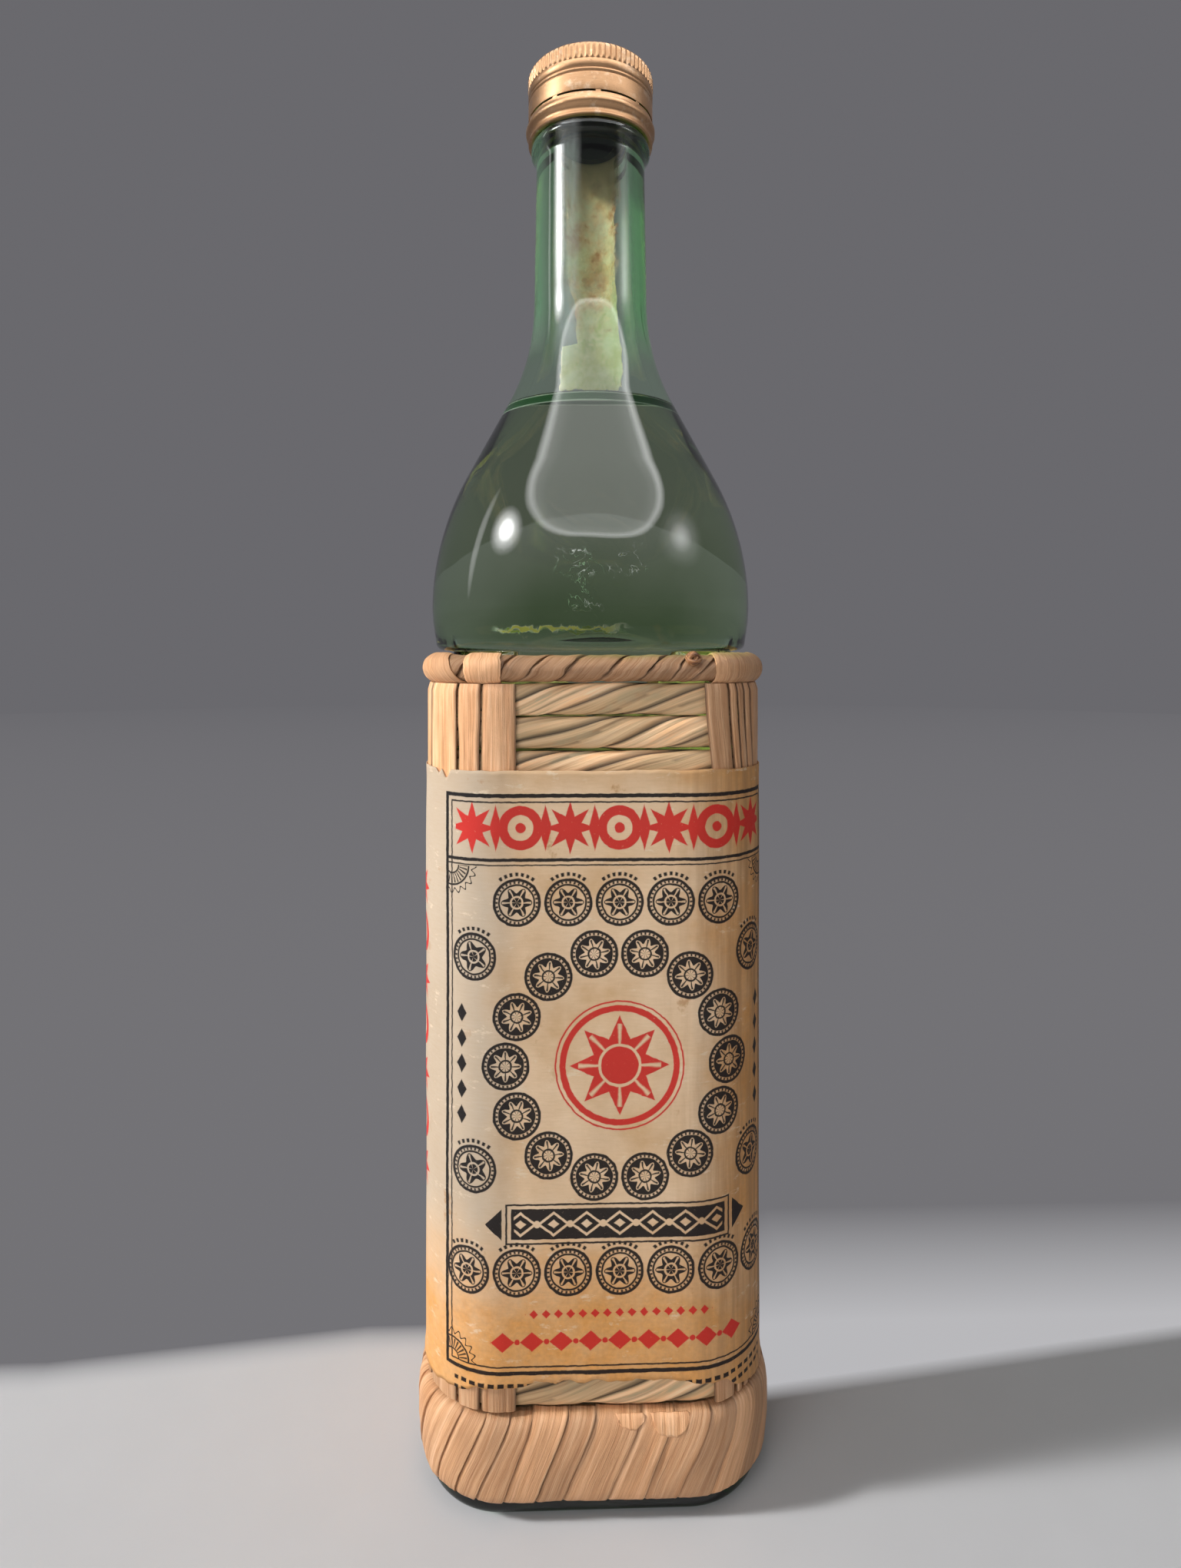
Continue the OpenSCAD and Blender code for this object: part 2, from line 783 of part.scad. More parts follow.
// Torn strip ends folded down over the base band's upper edge: place, half width and drop,
// as shares of the corner centres' distance and of the band's height
flap_shares = [[0.5, 0.12, 0.14], [0.8, 0.17, 0.24]];
flap_t = husk_t / 2;
flap_lift = 0.2;

module base_flaps() {
    half = core + base_out + base_lap + flap_lift;
    color(husk_tan) for (f = flap_shares)
        translate([f[0] * core, -half, base_top_z]) rotate([90, 0, 0])
            linear_extrude(flap_t) polygon([
                for (a = [0:15:180])
                    [-f[1] * core * cos(a), -f[2] * base_h * sin(a)]
            ]);
}

glass_bottle();
liqueur();
pourer_insert();
cap_liner();
cap_shell();
tamper_band();
neck_seal();
label();
rush_winding();
rim_core();
rim_wrap();
rim_knot();
straps_front_left();
straps_front_right();
straps_back_left();
straps_back_right();
cuff_front_left();
cuff_front_right();
cuff_back_left();
cuff_back_right();
strap_fold();
base_core();
base_wrap();
base_flaps();
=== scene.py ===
# Looks of the straw-covered liqueur bottle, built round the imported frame
import math

import bpy
import numpy as np
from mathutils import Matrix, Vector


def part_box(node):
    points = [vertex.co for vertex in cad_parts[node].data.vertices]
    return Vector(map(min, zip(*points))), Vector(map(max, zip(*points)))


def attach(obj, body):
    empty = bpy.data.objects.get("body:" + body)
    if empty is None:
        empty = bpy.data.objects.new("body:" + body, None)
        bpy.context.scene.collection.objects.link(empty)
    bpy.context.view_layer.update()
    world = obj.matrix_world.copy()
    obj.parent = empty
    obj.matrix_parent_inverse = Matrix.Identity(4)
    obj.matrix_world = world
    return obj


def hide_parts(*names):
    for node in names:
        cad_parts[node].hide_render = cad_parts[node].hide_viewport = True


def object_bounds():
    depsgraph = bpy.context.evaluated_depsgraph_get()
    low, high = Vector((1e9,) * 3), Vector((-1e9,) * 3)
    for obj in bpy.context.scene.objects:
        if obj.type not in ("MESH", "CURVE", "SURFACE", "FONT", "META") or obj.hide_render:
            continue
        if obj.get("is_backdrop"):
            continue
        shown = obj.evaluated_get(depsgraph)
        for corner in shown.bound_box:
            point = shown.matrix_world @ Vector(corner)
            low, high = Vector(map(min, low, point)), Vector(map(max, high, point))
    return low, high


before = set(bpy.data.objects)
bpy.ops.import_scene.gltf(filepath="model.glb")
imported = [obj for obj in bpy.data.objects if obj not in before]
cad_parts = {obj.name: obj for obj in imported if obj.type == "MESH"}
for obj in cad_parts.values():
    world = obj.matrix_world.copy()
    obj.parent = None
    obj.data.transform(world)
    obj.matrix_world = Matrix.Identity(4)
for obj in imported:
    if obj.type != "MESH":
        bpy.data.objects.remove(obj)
cad_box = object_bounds()

# Lengths below are millimetres; MM turns them into metres
MM = 0.001
TAU = 2 * math.pi


# Places read from the frame
def span(node):
    low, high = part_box(node)
    return np.array(low) / MM, np.array(high) / MM


# CORE: distance of the corners' centres from the two middle planes
CORE = 20.0
rim_low, rim_high = span("rim_wrap")
RIM_R = (rim_high[2] - rim_low[2]) / 2
RIM_Z = (rim_high[2] + rim_low[2]) / 2
RIM_OFF = rim_high[0] - CORE - RIM_R
base_low, base_high = span("base_wrap")
label_high = span("label")[1]
LABEL_OFF = label_high[0] - CORE
strap_low, strap_high = span("straps_front_left")
rush_low, rush_high = span("rush_winding")
glass_high = span("glass_bottle")[1]
cap_low, cap_high = span("cap_shell")
band_low = span("tamper_band")[0]
liner_low, liner_high = span("cap_liner")
pourer_low, pourer_high = span("pourer_insert")
liquid_high = span("liqueur")[1]
seal_low = span("neck_seal")[0]


# Smooth seeded noise between -1 and 1 on a lattice that repeats after 64 cells
LATTICE = 64


def noise(x, y, seed, octaves=1):
    x, y = np.broadcast_arrays(np.asarray(x, float), np.asarray(y, float))
    total = np.zeros(x.shape)
    size = 1.0
    for octave in range(octaves):
        table = np.random.default_rng(seed + octave).random((LATTICE, LATTICE)) * 2 - 1
        ix, iy = np.floor(x).astype(int), np.floor(y).astype(int)
        fx, fy = x - ix, y - iy
        fx, fy = fx * fx * (3 - 2 * fx), fy * fy * (3 - 2 * fy)
        x0, y0, x1, y1 = ix % LATTICE, iy % LATTICE, (ix + 1) % LATTICE, (iy + 1) % LATTICE
        low = table[x0, y0] * (1 - fx) + table[x1, y0] * fx
        high = table[x0, y1] * (1 - fx) + table[x1, y1] * fx
        total = total + size * (low * (1 - fy) + high * fy)
        x, y, size = x * 2 + 0.37, y * 2 + 0.71, size / 2
    return total


def smooth(low, high, x):
    """Smooth step from 0 at low to 1 at high."""
    t = np.clip((np.asarray(x, float) - low) / (high - low), 0, 1)
    return t * t * (3 - 2 * t)


# Route round the square plan: one leg is a flat and the corner after it, front leg first
def leg_length(off):
    """Length of a leg that runs off outside the corner centres."""
    return 2 * CORE + math.pi * off / 2


def stacked(x, y, z):
    return np.stack(np.broadcast_arrays(x, y, z), -1).astype(float)


def spun(r, angle, z):
    """Points at a radius, an angle and a height."""
    return stacked(r * np.cos(angle), r * np.sin(angle), z)


def route(s, off, out, z):
    """Points at s along the route that runs off outside the corner centres, moved to out."""
    s = np.asarray(s, float)
    leg = np.floor(s / leg_length(off))
    rest = s - leg * leg_length(off)
    along = np.minimum(rest, 2 * CORE) - CORE
    turn = leg * math.pi / 2
    angle = turn - math.pi / 2 + np.maximum(rest - 2 * CORE, 0) / off
    cx = along * np.cos(turn) + CORE * np.sin(turn)
    cy = along * np.sin(turn) - CORE * np.cos(turn)
    return stacked(cx + out * np.cos(angle), cy + out * np.sin(angle), z)


def round_cord(s, radius, turn):
    """Points round the rim's cord."""
    return route(s, RIM_OFF, RIM_OFF + radius * np.cos(turn), RIM_Z + radius * np.sin(turn))


class Shape:
    """Gathers grids of points into one mesh, with UVs in millimetres and marks per point:
    tone tells strips apart, and the seam mark, 1 where one strip goes under the next, is painted shade."""

    def __init__(self):
        self.points, self.tones, self.faces, self.uvs, self.count = [], [], [], [], 0

    def add_points(self, points, tone):
        start = self.count
        flat = points.reshape(-1, 3)
        self.points.append(flat)
        marks = tone if isinstance(tone, tuple) else (tone, 0.0)
        marks = [np.broadcast_to(mark, points.shape[:-1]).reshape(-1) for mark in marks]
        self.tones.append(np.stack(marks, -1).astype(np.float32))
        self.count += len(flat)
        return start

    def grid(self, points, uv, tone=0.0, wrap_rows=False, wrap_cols=False, flip=False):
        rows, cols = points.shape[:2]
        start = self.add_points(points, tone)
        i, j = np.meshgrid(
            np.arange(rows if wrap_rows else rows - 1),
            np.arange(cols if wrap_cols else cols - 1), indexing="ij")
        ni, nj = (i + 1) % rows, (j + 1) % cols
        quads = np.stack([i * cols + j, i * cols + nj, ni * cols + nj, ni * cols + j], -1)
        corners = np.stack([uv[i, j], uv[i, j + 1], uv[i + 1, j + 1], uv[i + 1, j]], 2)
        quads, corners = quads.reshape(-1, 4) + start, corners.reshape(-1, 4, 2)
        if flip:
            quads, corners = quads[:, ::-1], corners[:, ::-1]
        self.faces.append(quads)
        self.uvs.append(corners)
        return start

    def fan(self, ring, uv, centre, flip=False):
        """Closes a ring of point numbers with triangles to one centre point."""
        start = self.add_points(np.array([centre], float), 0.0)
        ring = np.asarray(ring)
        tris = np.stack([ring, np.roll(ring, -1), np.full(len(ring), start)], -1)
        corners = np.stack([uv, np.roll(uv, -1, 0), np.broadcast_to(uv.mean(0), uv.shape)], 1)
        if flip:
            tris, corners = tris[:, ::-1], corners[:, ::-1]
        self.faces.append(tris)
        self.uvs.append(corners)

    def shell(self, outer, inner, uv, tone=0.0):
        """Thin closed solid between two grids of the same size."""
        rows, cols = outer.shape[:2]
        a = self.grid(outer, uv, tone)
        b = self.grid(inner, uv, tone, flip=True)
        edge = np.concatenate([
            np.arange(cols), cols * np.arange(1, rows) + cols - 1,
            (rows - 1) * cols + np.arange(cols - 2, -1, -1), cols * np.arange(rows - 2, 0, -1)])
        flat = uv.reshape(-1, 2)
        after = np.roll(edge, -1)
        self.faces.append(np.stack([edge + a, edge + b, after + b, after + a], -1))
        self.uvs.append(np.stack([flat[edge], flat[edge], flat[after], flat[after]], 1))

    def piece(self, name, body, look, nodes, sharp=None):
        """Makes the mesh, which takes the place of nodes; edges over sharp degrees stay sharp."""
        points = np.concatenate(self.points) * MM
        mesh = bpy.data.meshes.new(name)
        mesh.vertices.add(len(points))
        mesh.vertices.foreach_set("co", points.ravel())
        sizes = np.concatenate([np.full(len(f), f.shape[1]) for f in self.faces])
        loops = np.concatenate([f.ravel() for f in self.faces])
        mesh.loops.add(len(loops))
        mesh.loops.foreach_set("vertex_index", loops.astype(np.int32))
        mesh.polygons.add(len(sizes))
        starts = np.concatenate([[0], np.cumsum(sizes)[:-1]])
        mesh.polygons.foreach_set("loop_start", starts.astype(np.int32))
        uvs = np.concatenate([u.reshape(-1, 2) for u in self.uvs])
        mesh.uv_layers.new(name="UVMap").data.foreach_set("uv", uvs.astype(np.float32).ravel())
        marks = np.concatenate(self.tones)
        for column, mark in enumerate(("tone", "seam_shade")):
            values = mesh.attributes.new(mark, "FLOAT", "POINT")
            values.data.foreach_set("value", np.ascontiguousarray(marks[:, column]))
        mesh.update(calc_edges=True)
        mesh.validate()
        mesh.shade_smooth()
        if sharp is not None:
            mesh.set_sharp_from_angle(angle=math.radians(sharp))
        made = bpy.data.objects.new(name, mesh)
        bpy.context.scene.collection.objects.link(made)
        mesh.materials.append(look.material)
        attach(made, body)
        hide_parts(*nodes)


def flat_uv(u, v):
    return stacked(u, v, 0)[..., :2]


def lathe(shape, outline, turns, ripple=None):
    """Turns a closed outline of (radius, height) pairs round the axis."""
    outline = np.array(outline, float)
    angle = np.arange(turns) * TAU / turns
    r = outline[:, :1] + np.zeros(turns)
    z = outline[:, 1:] + np.zeros(turns)
    if ripple is not None:
        r = r + ripple(r, z, angle)
    points = spun(r, angle, z)
    steps = np.linalg.norm(np.diff(outline, axis=0), axis=1)
    length = np.concatenate([[0], np.cumsum(steps)])
    length = np.append(length, length[-1] + np.linalg.norm(outline[0] - outline[-1]))
    wide = max(outline[:, 0].max(), 1)
    u = np.arange(turns + 1) * TAU / turns * wide
    uv = flat_uv(u[None, :], length[:, None])
    shape.grid(points, uv, wrap_rows=True, wrap_cols=True)


def arc(cx, cz, r, start, end, n):
    a = np.radians(np.linspace(start, end, n + 1))
    return [(cx + r * math.cos(t), cz + r * math.sin(t)) for t in a]


def operator(kind, swapped=False):
    """Method of Value that adds one Math node."""
    def apply(self, *others):
        return self.nodes.math(kind, *((*others, self) if swapped else (self, *others)))

    return apply


class Value:
    """A number made by nodes. Sums of values add nodes, and | takes the larger one."""

    def __init__(self, nodes, socket):
        self.nodes, self.socket = nodes, socket

    __add__, __radd__ = operator("ADD"), operator("ADD", True)
    __sub__, __rsub__ = operator("SUBTRACT"), operator("SUBTRACT", True)
    __mul__, __rmul__ = operator("MULTIPLY"), operator("MULTIPLY", True)
    __truediv__, __mod__, __pow__ = operator("DIVIDE"), operator("MODULO"), operator("POWER")
    __or__, __abs__ = operator("MAXIMUM"), operator("ABSOLUTE")
    cos, sin, floor, root = (operator(kind) for kind in ("COSINE", "SINE", "FLOOR", "SQRT"))


class Nodes:
    """Builds a node tree. Numbers come back as values, colours and vectors as sockets."""

    def __init__(self, owner):
        owner.use_nodes = True
        self.tree = owner.node_tree
        self.tree.nodes.clear()

    def put(self, socket, value):
        """Links a value or a socket, or sets a constant; a colour may leave out its alpha."""
        if isinstance(value, Value):
            value = value.socket
        if isinstance(value, bpy.types.NodeSocket):
            self.tree.links.new(value, socket)
        elif socket.type == "RGBA" and len(value) == 3:
            socket.default_value = (*value, 1)
        else:
            socket.default_value = value

    def add(self, kind, *values, **settings):
        """Node of a kind with its first inputs filled in."""
        node = self.tree.nodes.new(kind)
        for key, value in settings.items():
            setattr(node, key, value)
        for socket, value in zip(node.inputs, values):
            self.put(socket, value)
        return node

    def math(self, operation, *values):
        return Value(self, self.add("ShaderNodeMath", *values, operation=operation).outputs[0])

    def turn(self, y, x):
        """Angle of (x, y) from the x axis."""
        return self.math("ARCTAN2", y, x)

    def far(self, x, y):
        """Distance of (x, y) from the origin."""
        return (x * x + y * y).root()

    def xyz(self, x, y, z=0.0):
        return self.add("ShaderNodeCombineXYZ", x, y, z).outputs[0]

    def split(self, vector):
        return [Value(self, out) for out in self.add("ShaderNodeSeparateXYZ", vector).outputs]

    def ray(self, kind):
        """1 for rays of a kind, such as Camera, and 0 for the others."""
        return Value(self, self.add("ShaderNodeLightPath").outputs[f"Is {kind} Ray"])

    def noise(self, vector, scale, detail=2.0, rough=0.5, distortion=0.0):
        node = self.add("ShaderNodeTexNoise")
        for key, value in (("Vector", vector), ("Scale", scale), ("Detail", detail),
                           ("Roughness", rough), ("Distortion", distortion)):
            self.put(node.inputs[key], value)
        return Value(self, node.outputs["Fac"])

    def grain(self, u, v, du, dv, *settings):
        """Noise in cells of du by dv millimetres."""
        return self.noise(self.xyz(u / du, v / dv), 1.0, *settings)

    def mix(self, factor, a, b, blend="MIX"):
        node = self.add("ShaderNodeMix", factor, data_type="RGBA", blend_type=blend)
        self.put(node.inputs[6], a)
        self.put(node.inputs[7], b)
        return node.outputs[2]

    def coats(self, colour, *coats):
        """Colour under coats of (share, colour), laid on in that order."""
        for share, coat in coats:
            colour = self.mix(share, colour, coat)
        return colour

    def fade(self, value, low, high, to_low=0.0, to_high=1.0):
        node = self.add("ShaderNodeMapRange", value, low, high, to_low, to_high, clamp=True)
        return Value(self, node.outputs[0])

    def ramp(self, factor, *stops):
        """Colour ramp through stops of (place, colour or grey)."""
        node = self.add("ShaderNodeValToRGB", factor)
        elements = node.color_ramp.elements
        while len(elements) < len(stops):
            elements.new(0.5)
        for element, (place, colour) in zip(elements, stops):
            element.position = place
            element.color = (*(colour if isinstance(colour, tuple) else 3 * (colour,)), 1)
        return node.outputs[0]

    def glow(self, colour, strength=1.0):
        return self.add("ShaderNodeEmission", colour, strength).outputs[0]

    def blend(self, factor, a, b):
        """Mix of two shaders."""
        return self.add("ShaderNodeMixShader", factor, a, b).outputs[0]


class Look(Nodes):
    """A node material with one Principled shader."""

    def __init__(self, name):
        self.material = bpy.data.materials.new(name)
        super().__init__(self.material)
        self.bsdf = self.add("ShaderNodeBsdfPrincipled")
        self.end = self.add("ShaderNodeOutputMaterial", self.bsdf.outputs[0])

    def set(self, **values):
        for key, value in values.items():
            self.put(self.bsdf.inputs[key.replace("_", " ")], value)

    def uv(self):
        return self.split(self.add("ShaderNodeUVMap", uv_map="UVMap").outputs[0])[:2]

    def place(self):
        """Object coordinates, in millimetres."""
        place = self.add("ShaderNodeTexCoord").outputs["Object"]
        node = self.add("ShaderNodeVectorMath", place, operation="SCALE")
        node.inputs["Scale"].default_value = 1 / MM
        return node.outputs[0]

    def mark(self, name):
        return Value(self, self.add("ShaderNodeAttribute", attribute_name=name).outputs["Fac"])

    def bump(self, height, depth, normal=None):
        """Normal for a height from 0 to 1 that stands for depth millimetres."""
        node = self.add("ShaderNodeBump")
        node.inputs["Strength"].default_value = 1.0
        node.inputs["Distance"].default_value = depth * MM
        self.put(node.inputs["Height"], height)
        if normal is not None:
            self.put(node.inputs["Normal"], normal)
        return node.outputs[0]

    def shaded(self, colour, value):
        return self.mix(1.0, colour, self.xyz(value, value, value), "MULTIPLY")

    def absorb(self, colour, density):
        volume = self.add("ShaderNodeVolumeAbsorption", colour, density)
        self.put(self.end.inputs["Volume"], volume.outputs[0])

    def let_lamps_through(self, tint):
        """Lamps light what is behind this glass: it casts a tinted shadow only."""
        clear = self.add("ShaderNodeBsdfTransparent", tint).outputs[0]
        both = self.blend(self.ray("Shadow"), self.bsdf.outputs[0], clear)
        self.put(self.end.inputs["Surface"], both)


# Camera: level, close to the front, 1.8 degrees round to the left
FRAME_H = 2040
FOCAL_PX = 1165
HORIZON_PX = 849
EYE_D = 228
EYE_Z = 183.5
EYE_YAW = math.radians(1.8)
FILM = 36

camera = bpy.data.cameras.new("camera")
camera.sensor_width = FILM
camera.lens = FOCAL_PX / FRAME_H * FILM
camera.shift_y = (HORIZON_PX - FRAME_H / 2) / FRAME_H
camera.clip_start = 0.01
eye = bpy.data.objects.new("camera", camera)
eye.location = (-EYE_D * math.sin(EYE_YAW) * MM, -EYE_D * math.cos(EYE_YAW) * MM, EYE_Z * MM)
eye.rotation_euler = (math.pi / 2, 0, -EYE_YAW)
bpy.context.scene.collection.objects.link(eye)
bpy.context.scene.camera = eye
bpy.context.scene.view_settings.view_transform = "Standard"


# Lamps: each lights the object, or shines in its glass and metal, so that the bright shapes
# in the glass are set apart from the light on the straw. None shows through the glass.
def softbox(name, place, aim, width, height, radiance, stops, power=2.0, lights=True, shines=True):
    """Area light whose glow follows stops of (share of the way out, strength) over its face."""
    light = bpy.data.lights.new(name, "AREA")
    light.shape = "RECTANGLE"
    light.size, light.size_y = width, height
    light.energy = radiance * width * height * math.pi
    nodes = Nodes(light)
    face = nodes.split(nodes.add("ShaderNodeNewGeometry").outputs["Parametric"])
    across, along = (abs(way * 2.0 - 1.0) for way in face[:2])
    way_out = (across ** power + along ** power) ** (1 / power)
    nodes.add("ShaderNodeOutputLight", nodes.glow((1, 1, 1), nodes.ramp(way_out, *stops)))
    lamp = bpy.data.objects.new(name, light)
    lamp.location = place
    lamp.visible_transmission = False
    lamp.visible_diffuse = lights
    lamp.visible_glossy = shines
    away = lamp.location - type(lamp.location)(aim)
    lamp.rotation_euler = away.to_track_quat("Z", "Y").to_euler()
    bpy.context.scene.collection.objects.link(lamp)


GLOW = ((0.0, 1.0), (0.25, 0.62), (0.5, 0.2), (0.8, 0.05), (1.0, 0.0))
BROAD = ((0.0, 1.0), (0.3, 0.84), (0.6, 0.42), (0.85, 0.1), (1.0, 0.0))
STRIP = ((0.0, 1.0), (0.5, 0.9), (0.8, 0.4), (1.0, 0.0))
RING = ((0.0, 0.3), (0.66, 0.31), (0.8, 0.42), (0.89, 1.0), (0.94, 0.6), (1.0, 0.0))
MIDDLE = (0, 0, 0.2)
softbox("key", (-2.12, -0.28, 1.42), MIDDLE, 0.5, 0.5, 640, GLOW, shines=False)
softbox("left", (-1.04, -0.38, 0.83), MIDDLE, 0.62, 0.44, 52, GLOW, lights=False)
softbox("far_left", (-1.2, 0.1, 0.7), MIDDLE, 0.16, 0.9, 2.6, STRIP, lights=False)
softbox("right", (1.09, -0.38, 0.78), MIDDLE, 0.9, 0.5, 7, GLOW, lights=False)
softbox("front", (-1.1, -1.8, 0.9), MIDDLE, 3.0, 2.4, 3.9, BROAD, shines=False)
softbox("front_shine", (-1.1, -1.8, 0.9), MIDDLE, 3.0, 2.4, 1.6, BROAD, lights=False)
softbox("overhead", (0.14, -1.47, 2), (0.14, -1.47, 0), 3.97, 3.1, 6.5, RING, 2.3, lights=False)
softbox("fill", (1.7, 0.9, 1.3), MIDDLE, 1.6, 1.6, 1.5, BROAD, shines=False)
softbox("top", (-0.2, -0.4, 2.4), MIDDLE, 2.0, 2.0, 1.5, BROAD, shines=False)

BACKDROP = (0.143, 0.141, 0.153)
BACKDROP_LOW = (0.172, 0.169, 0.18)
PALE = (0.54, 0.54, 0.55)
LIT_PALE = (0.485, 0.482, 0.5)
THROUGH_GLASS = (0.085, 0.088, 0.082)
AMBIENT = 0.08
world = bpy.data.worlds.new("studio")
bpy.context.scene.world = world
sky = Nodes(world)
seen_rays = sky.ray("Camera") | sky.ray("Glossy") | sky.ray("Transmission")
ambient = sky.add("ShaderNodeBackground", (1, 1, 1), AMBIENT).outputs[0]
behind = sky.add("ShaderNodeBackground", BACKDROP).outputs[0]
sky.add("ShaderNodeOutputWorld", sky.blend(seen_rays, ambient, behind))

# Floor: pale round the bottle, and fading into the backdrop's grey behind it
FLOOR_RINGS = [0.05, 0.1, 0.2, 0.4, 0.8, 1.6, 3.0]


def make_floor():
    look = Look("floor_finish")
    place = look.place()
    x, y = look.split(place)[:2]
    darker, lighter = (tuple(c * share for c in PALE) for share in (0.97, 1.03))
    look.set(Base_Color=look.mix(look.noise(place, 0.05, 3), darker, lighter), Roughness=0.6,
             Specular_IOR_Level=0.1)
    # Behind the bottle it turns into the backdrop: soon on the left, slowly on the right
    side = look.fade(x, -30, 60)
    middle = look.fade(x, -140, -60, 3, 13) + side * 28
    gone = look.fade((y - middle) / (side * 20.0 + 5.0), -1, 1) | look.fade(look.far(x, y), 320, 900)
    grey = look.mix(look.fade(y, 3000, 200), BACKDROP, BACKDROP_LOW)
    # Right of the bottle, behind a slanting line, camera and glossy rays see a glow of lit floor: painted
    # light over the back of the bottle's shadow
    plain = look.fade(y - x * 0.14, -16, -11) * look.fade(x, 10, 30) | gone
    plain = plain * (look.ray("Camera") | look.ray("Glossy"))
    seen = look.blend(plain, look.bsdf.outputs[0], look.glow(look.mix(gone, LIT_PALE, grey)))
    # Seen through the glass it is a dim glow: painted shade in the bulb
    seen = look.blend(look.ray("Transmission"), seen, look.glow(THROUGH_GLASS))
    look.put(look.end.inputs["Surface"], seen)
    turns = 64
    shape = Shape()
    angle = np.arange(turns) * TAU / turns
    r = np.array(FLOOR_RINGS)[:, None] / MM
    uv = flat_uv(np.linspace(0, 1, turns + 1)[None, :], r)
    start = shape.grid(spun(r, angle, 0), uv, wrap_cols=True, flip=True)
    shape.fan(np.arange(turns) + start, uv[0, :turns], (0, 0, 0))
    faces = [tuple(face) for group in shape.faces for face in group.tolist()]
    mesh = bpy.data.meshes.new("floor")
    mesh.from_pydata((np.concatenate(shape.points) * MM).tolist(), [], faces)
    mesh.materials.append(look.material)
    made = bpy.data.objects.new("floor", mesh)
    bpy.context.scene.collection.objects.link(made)
    made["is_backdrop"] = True


make_floor()


# Sections: (centre distance of the corners, corner radius, height, and a limit to the radius)
NO_LIMIT = 99
UV_R = 35


def polar(core, r, angle):
    """Distance from the axis to a square with round corners."""
    fold = np.abs(np.mod(angle, math.pi / 2) - math.pi / 4)
    side = math.pi / 4 - fold
    flat = (core + r) / np.cos(side)
    inside = np.maximum(r * r - 2 * core * core * np.sin(fold) ** 2, 0)
    corner = math.sqrt(2) * core * np.cos(fold) + np.sqrt(inside)
    return np.where(np.tan(side) * (core + r) <= core, flat, corner)


def sections(shape, rows, turns, ripple=None):
    """Skin through the rows, closed at both ends by a point on the axis."""
    angle = np.arange(turns) * TAU / turns
    r = np.array([np.minimum(polar(row[0], row[1], angle), (*row, NO_LIMIT)[3]) for row in rows])
    z = np.array([[row[2]] for row in rows]) + np.zeros(turns)
    if ripple is not None:
        r = r + ripple(r, z, angle)
    points = spun(r, angle, z)
    along = np.array([row[2] for row in rows])
    uv = flat_uv(np.arange(turns + 1)[None, :] * TAU / turns * UV_R, along[:, None])
    start = shape.grid(points, uv, wrap_cols=True)
    last = start + turns * (len(rows) - 1)
    shape.fan(np.arange(turns) + start, uv[0, :turns], (0, 0, rows[0][2]), flip=True)
    shape.fan(np.arange(turns) + last, uv[-1, :turns], (0, 0, rows[-1][2]))


# Glass bottle, and the liqueur in it
WALL = 3.6
BODY_R = 12.5
FOOT_R = 17.6
HEEL = 2.2
FOOT_Z = 4.6
PUNT_BALL = 95.69
PUNT_Z = 3.6 - PUNT_BALL
BULB_R = 39.6
BULB_Z = 194
BULB_ARC = 68
CONE = 28.5
NECK_R = 14.2
NECK_ARC = 57
LEDGE_R = 38.7
FINISH_Z = 307
NECK_TOP_R = 13.7
LIP_Z = glass_high[2]
ROOT_R = 13.9
BORE_R = 9.3
LIQUID_Z = liquid_high[2]
bulb_end_r = BULB_R - BULB_ARC * (1 - math.cos(math.radians(CONE)))
bulb_end_z = BULB_Z + BULB_ARC * math.sin(math.radians(CONE))
cone_end_r = NECK_R + NECK_ARC * (1 - math.cos(math.radians(CONE)))
NECK_Z = (bulb_end_z + (bulb_end_r - cone_end_r) / math.tan(math.radians(CONE))
          + NECK_ARC * math.sin(math.radians(CONE)))


def shoulder(d):
    """Shoulder and neck from the widest place up, inset by d."""
    return (arc(BULB_R - BULB_ARC, BULB_Z, BULB_ARC - d, 0, CONE, 14)
            + arc(NECK_R + NECK_ARC, NECK_Z, NECK_ARC + d, 180 + CONE, 180, 14))


def rounds(pairs):
    """Round sections through (radius, height) pairs."""
    return [(0, r, z) for r, z in pairs]


def squares(pairs):
    """Square sections with round corners."""
    return [(CORE, r, z) for r, z in pairs]


def ball_rows(r_list, ball):
    return rounds((r, PUNT_Z + math.sqrt(ball * ball - r * r)) for r in r_list)


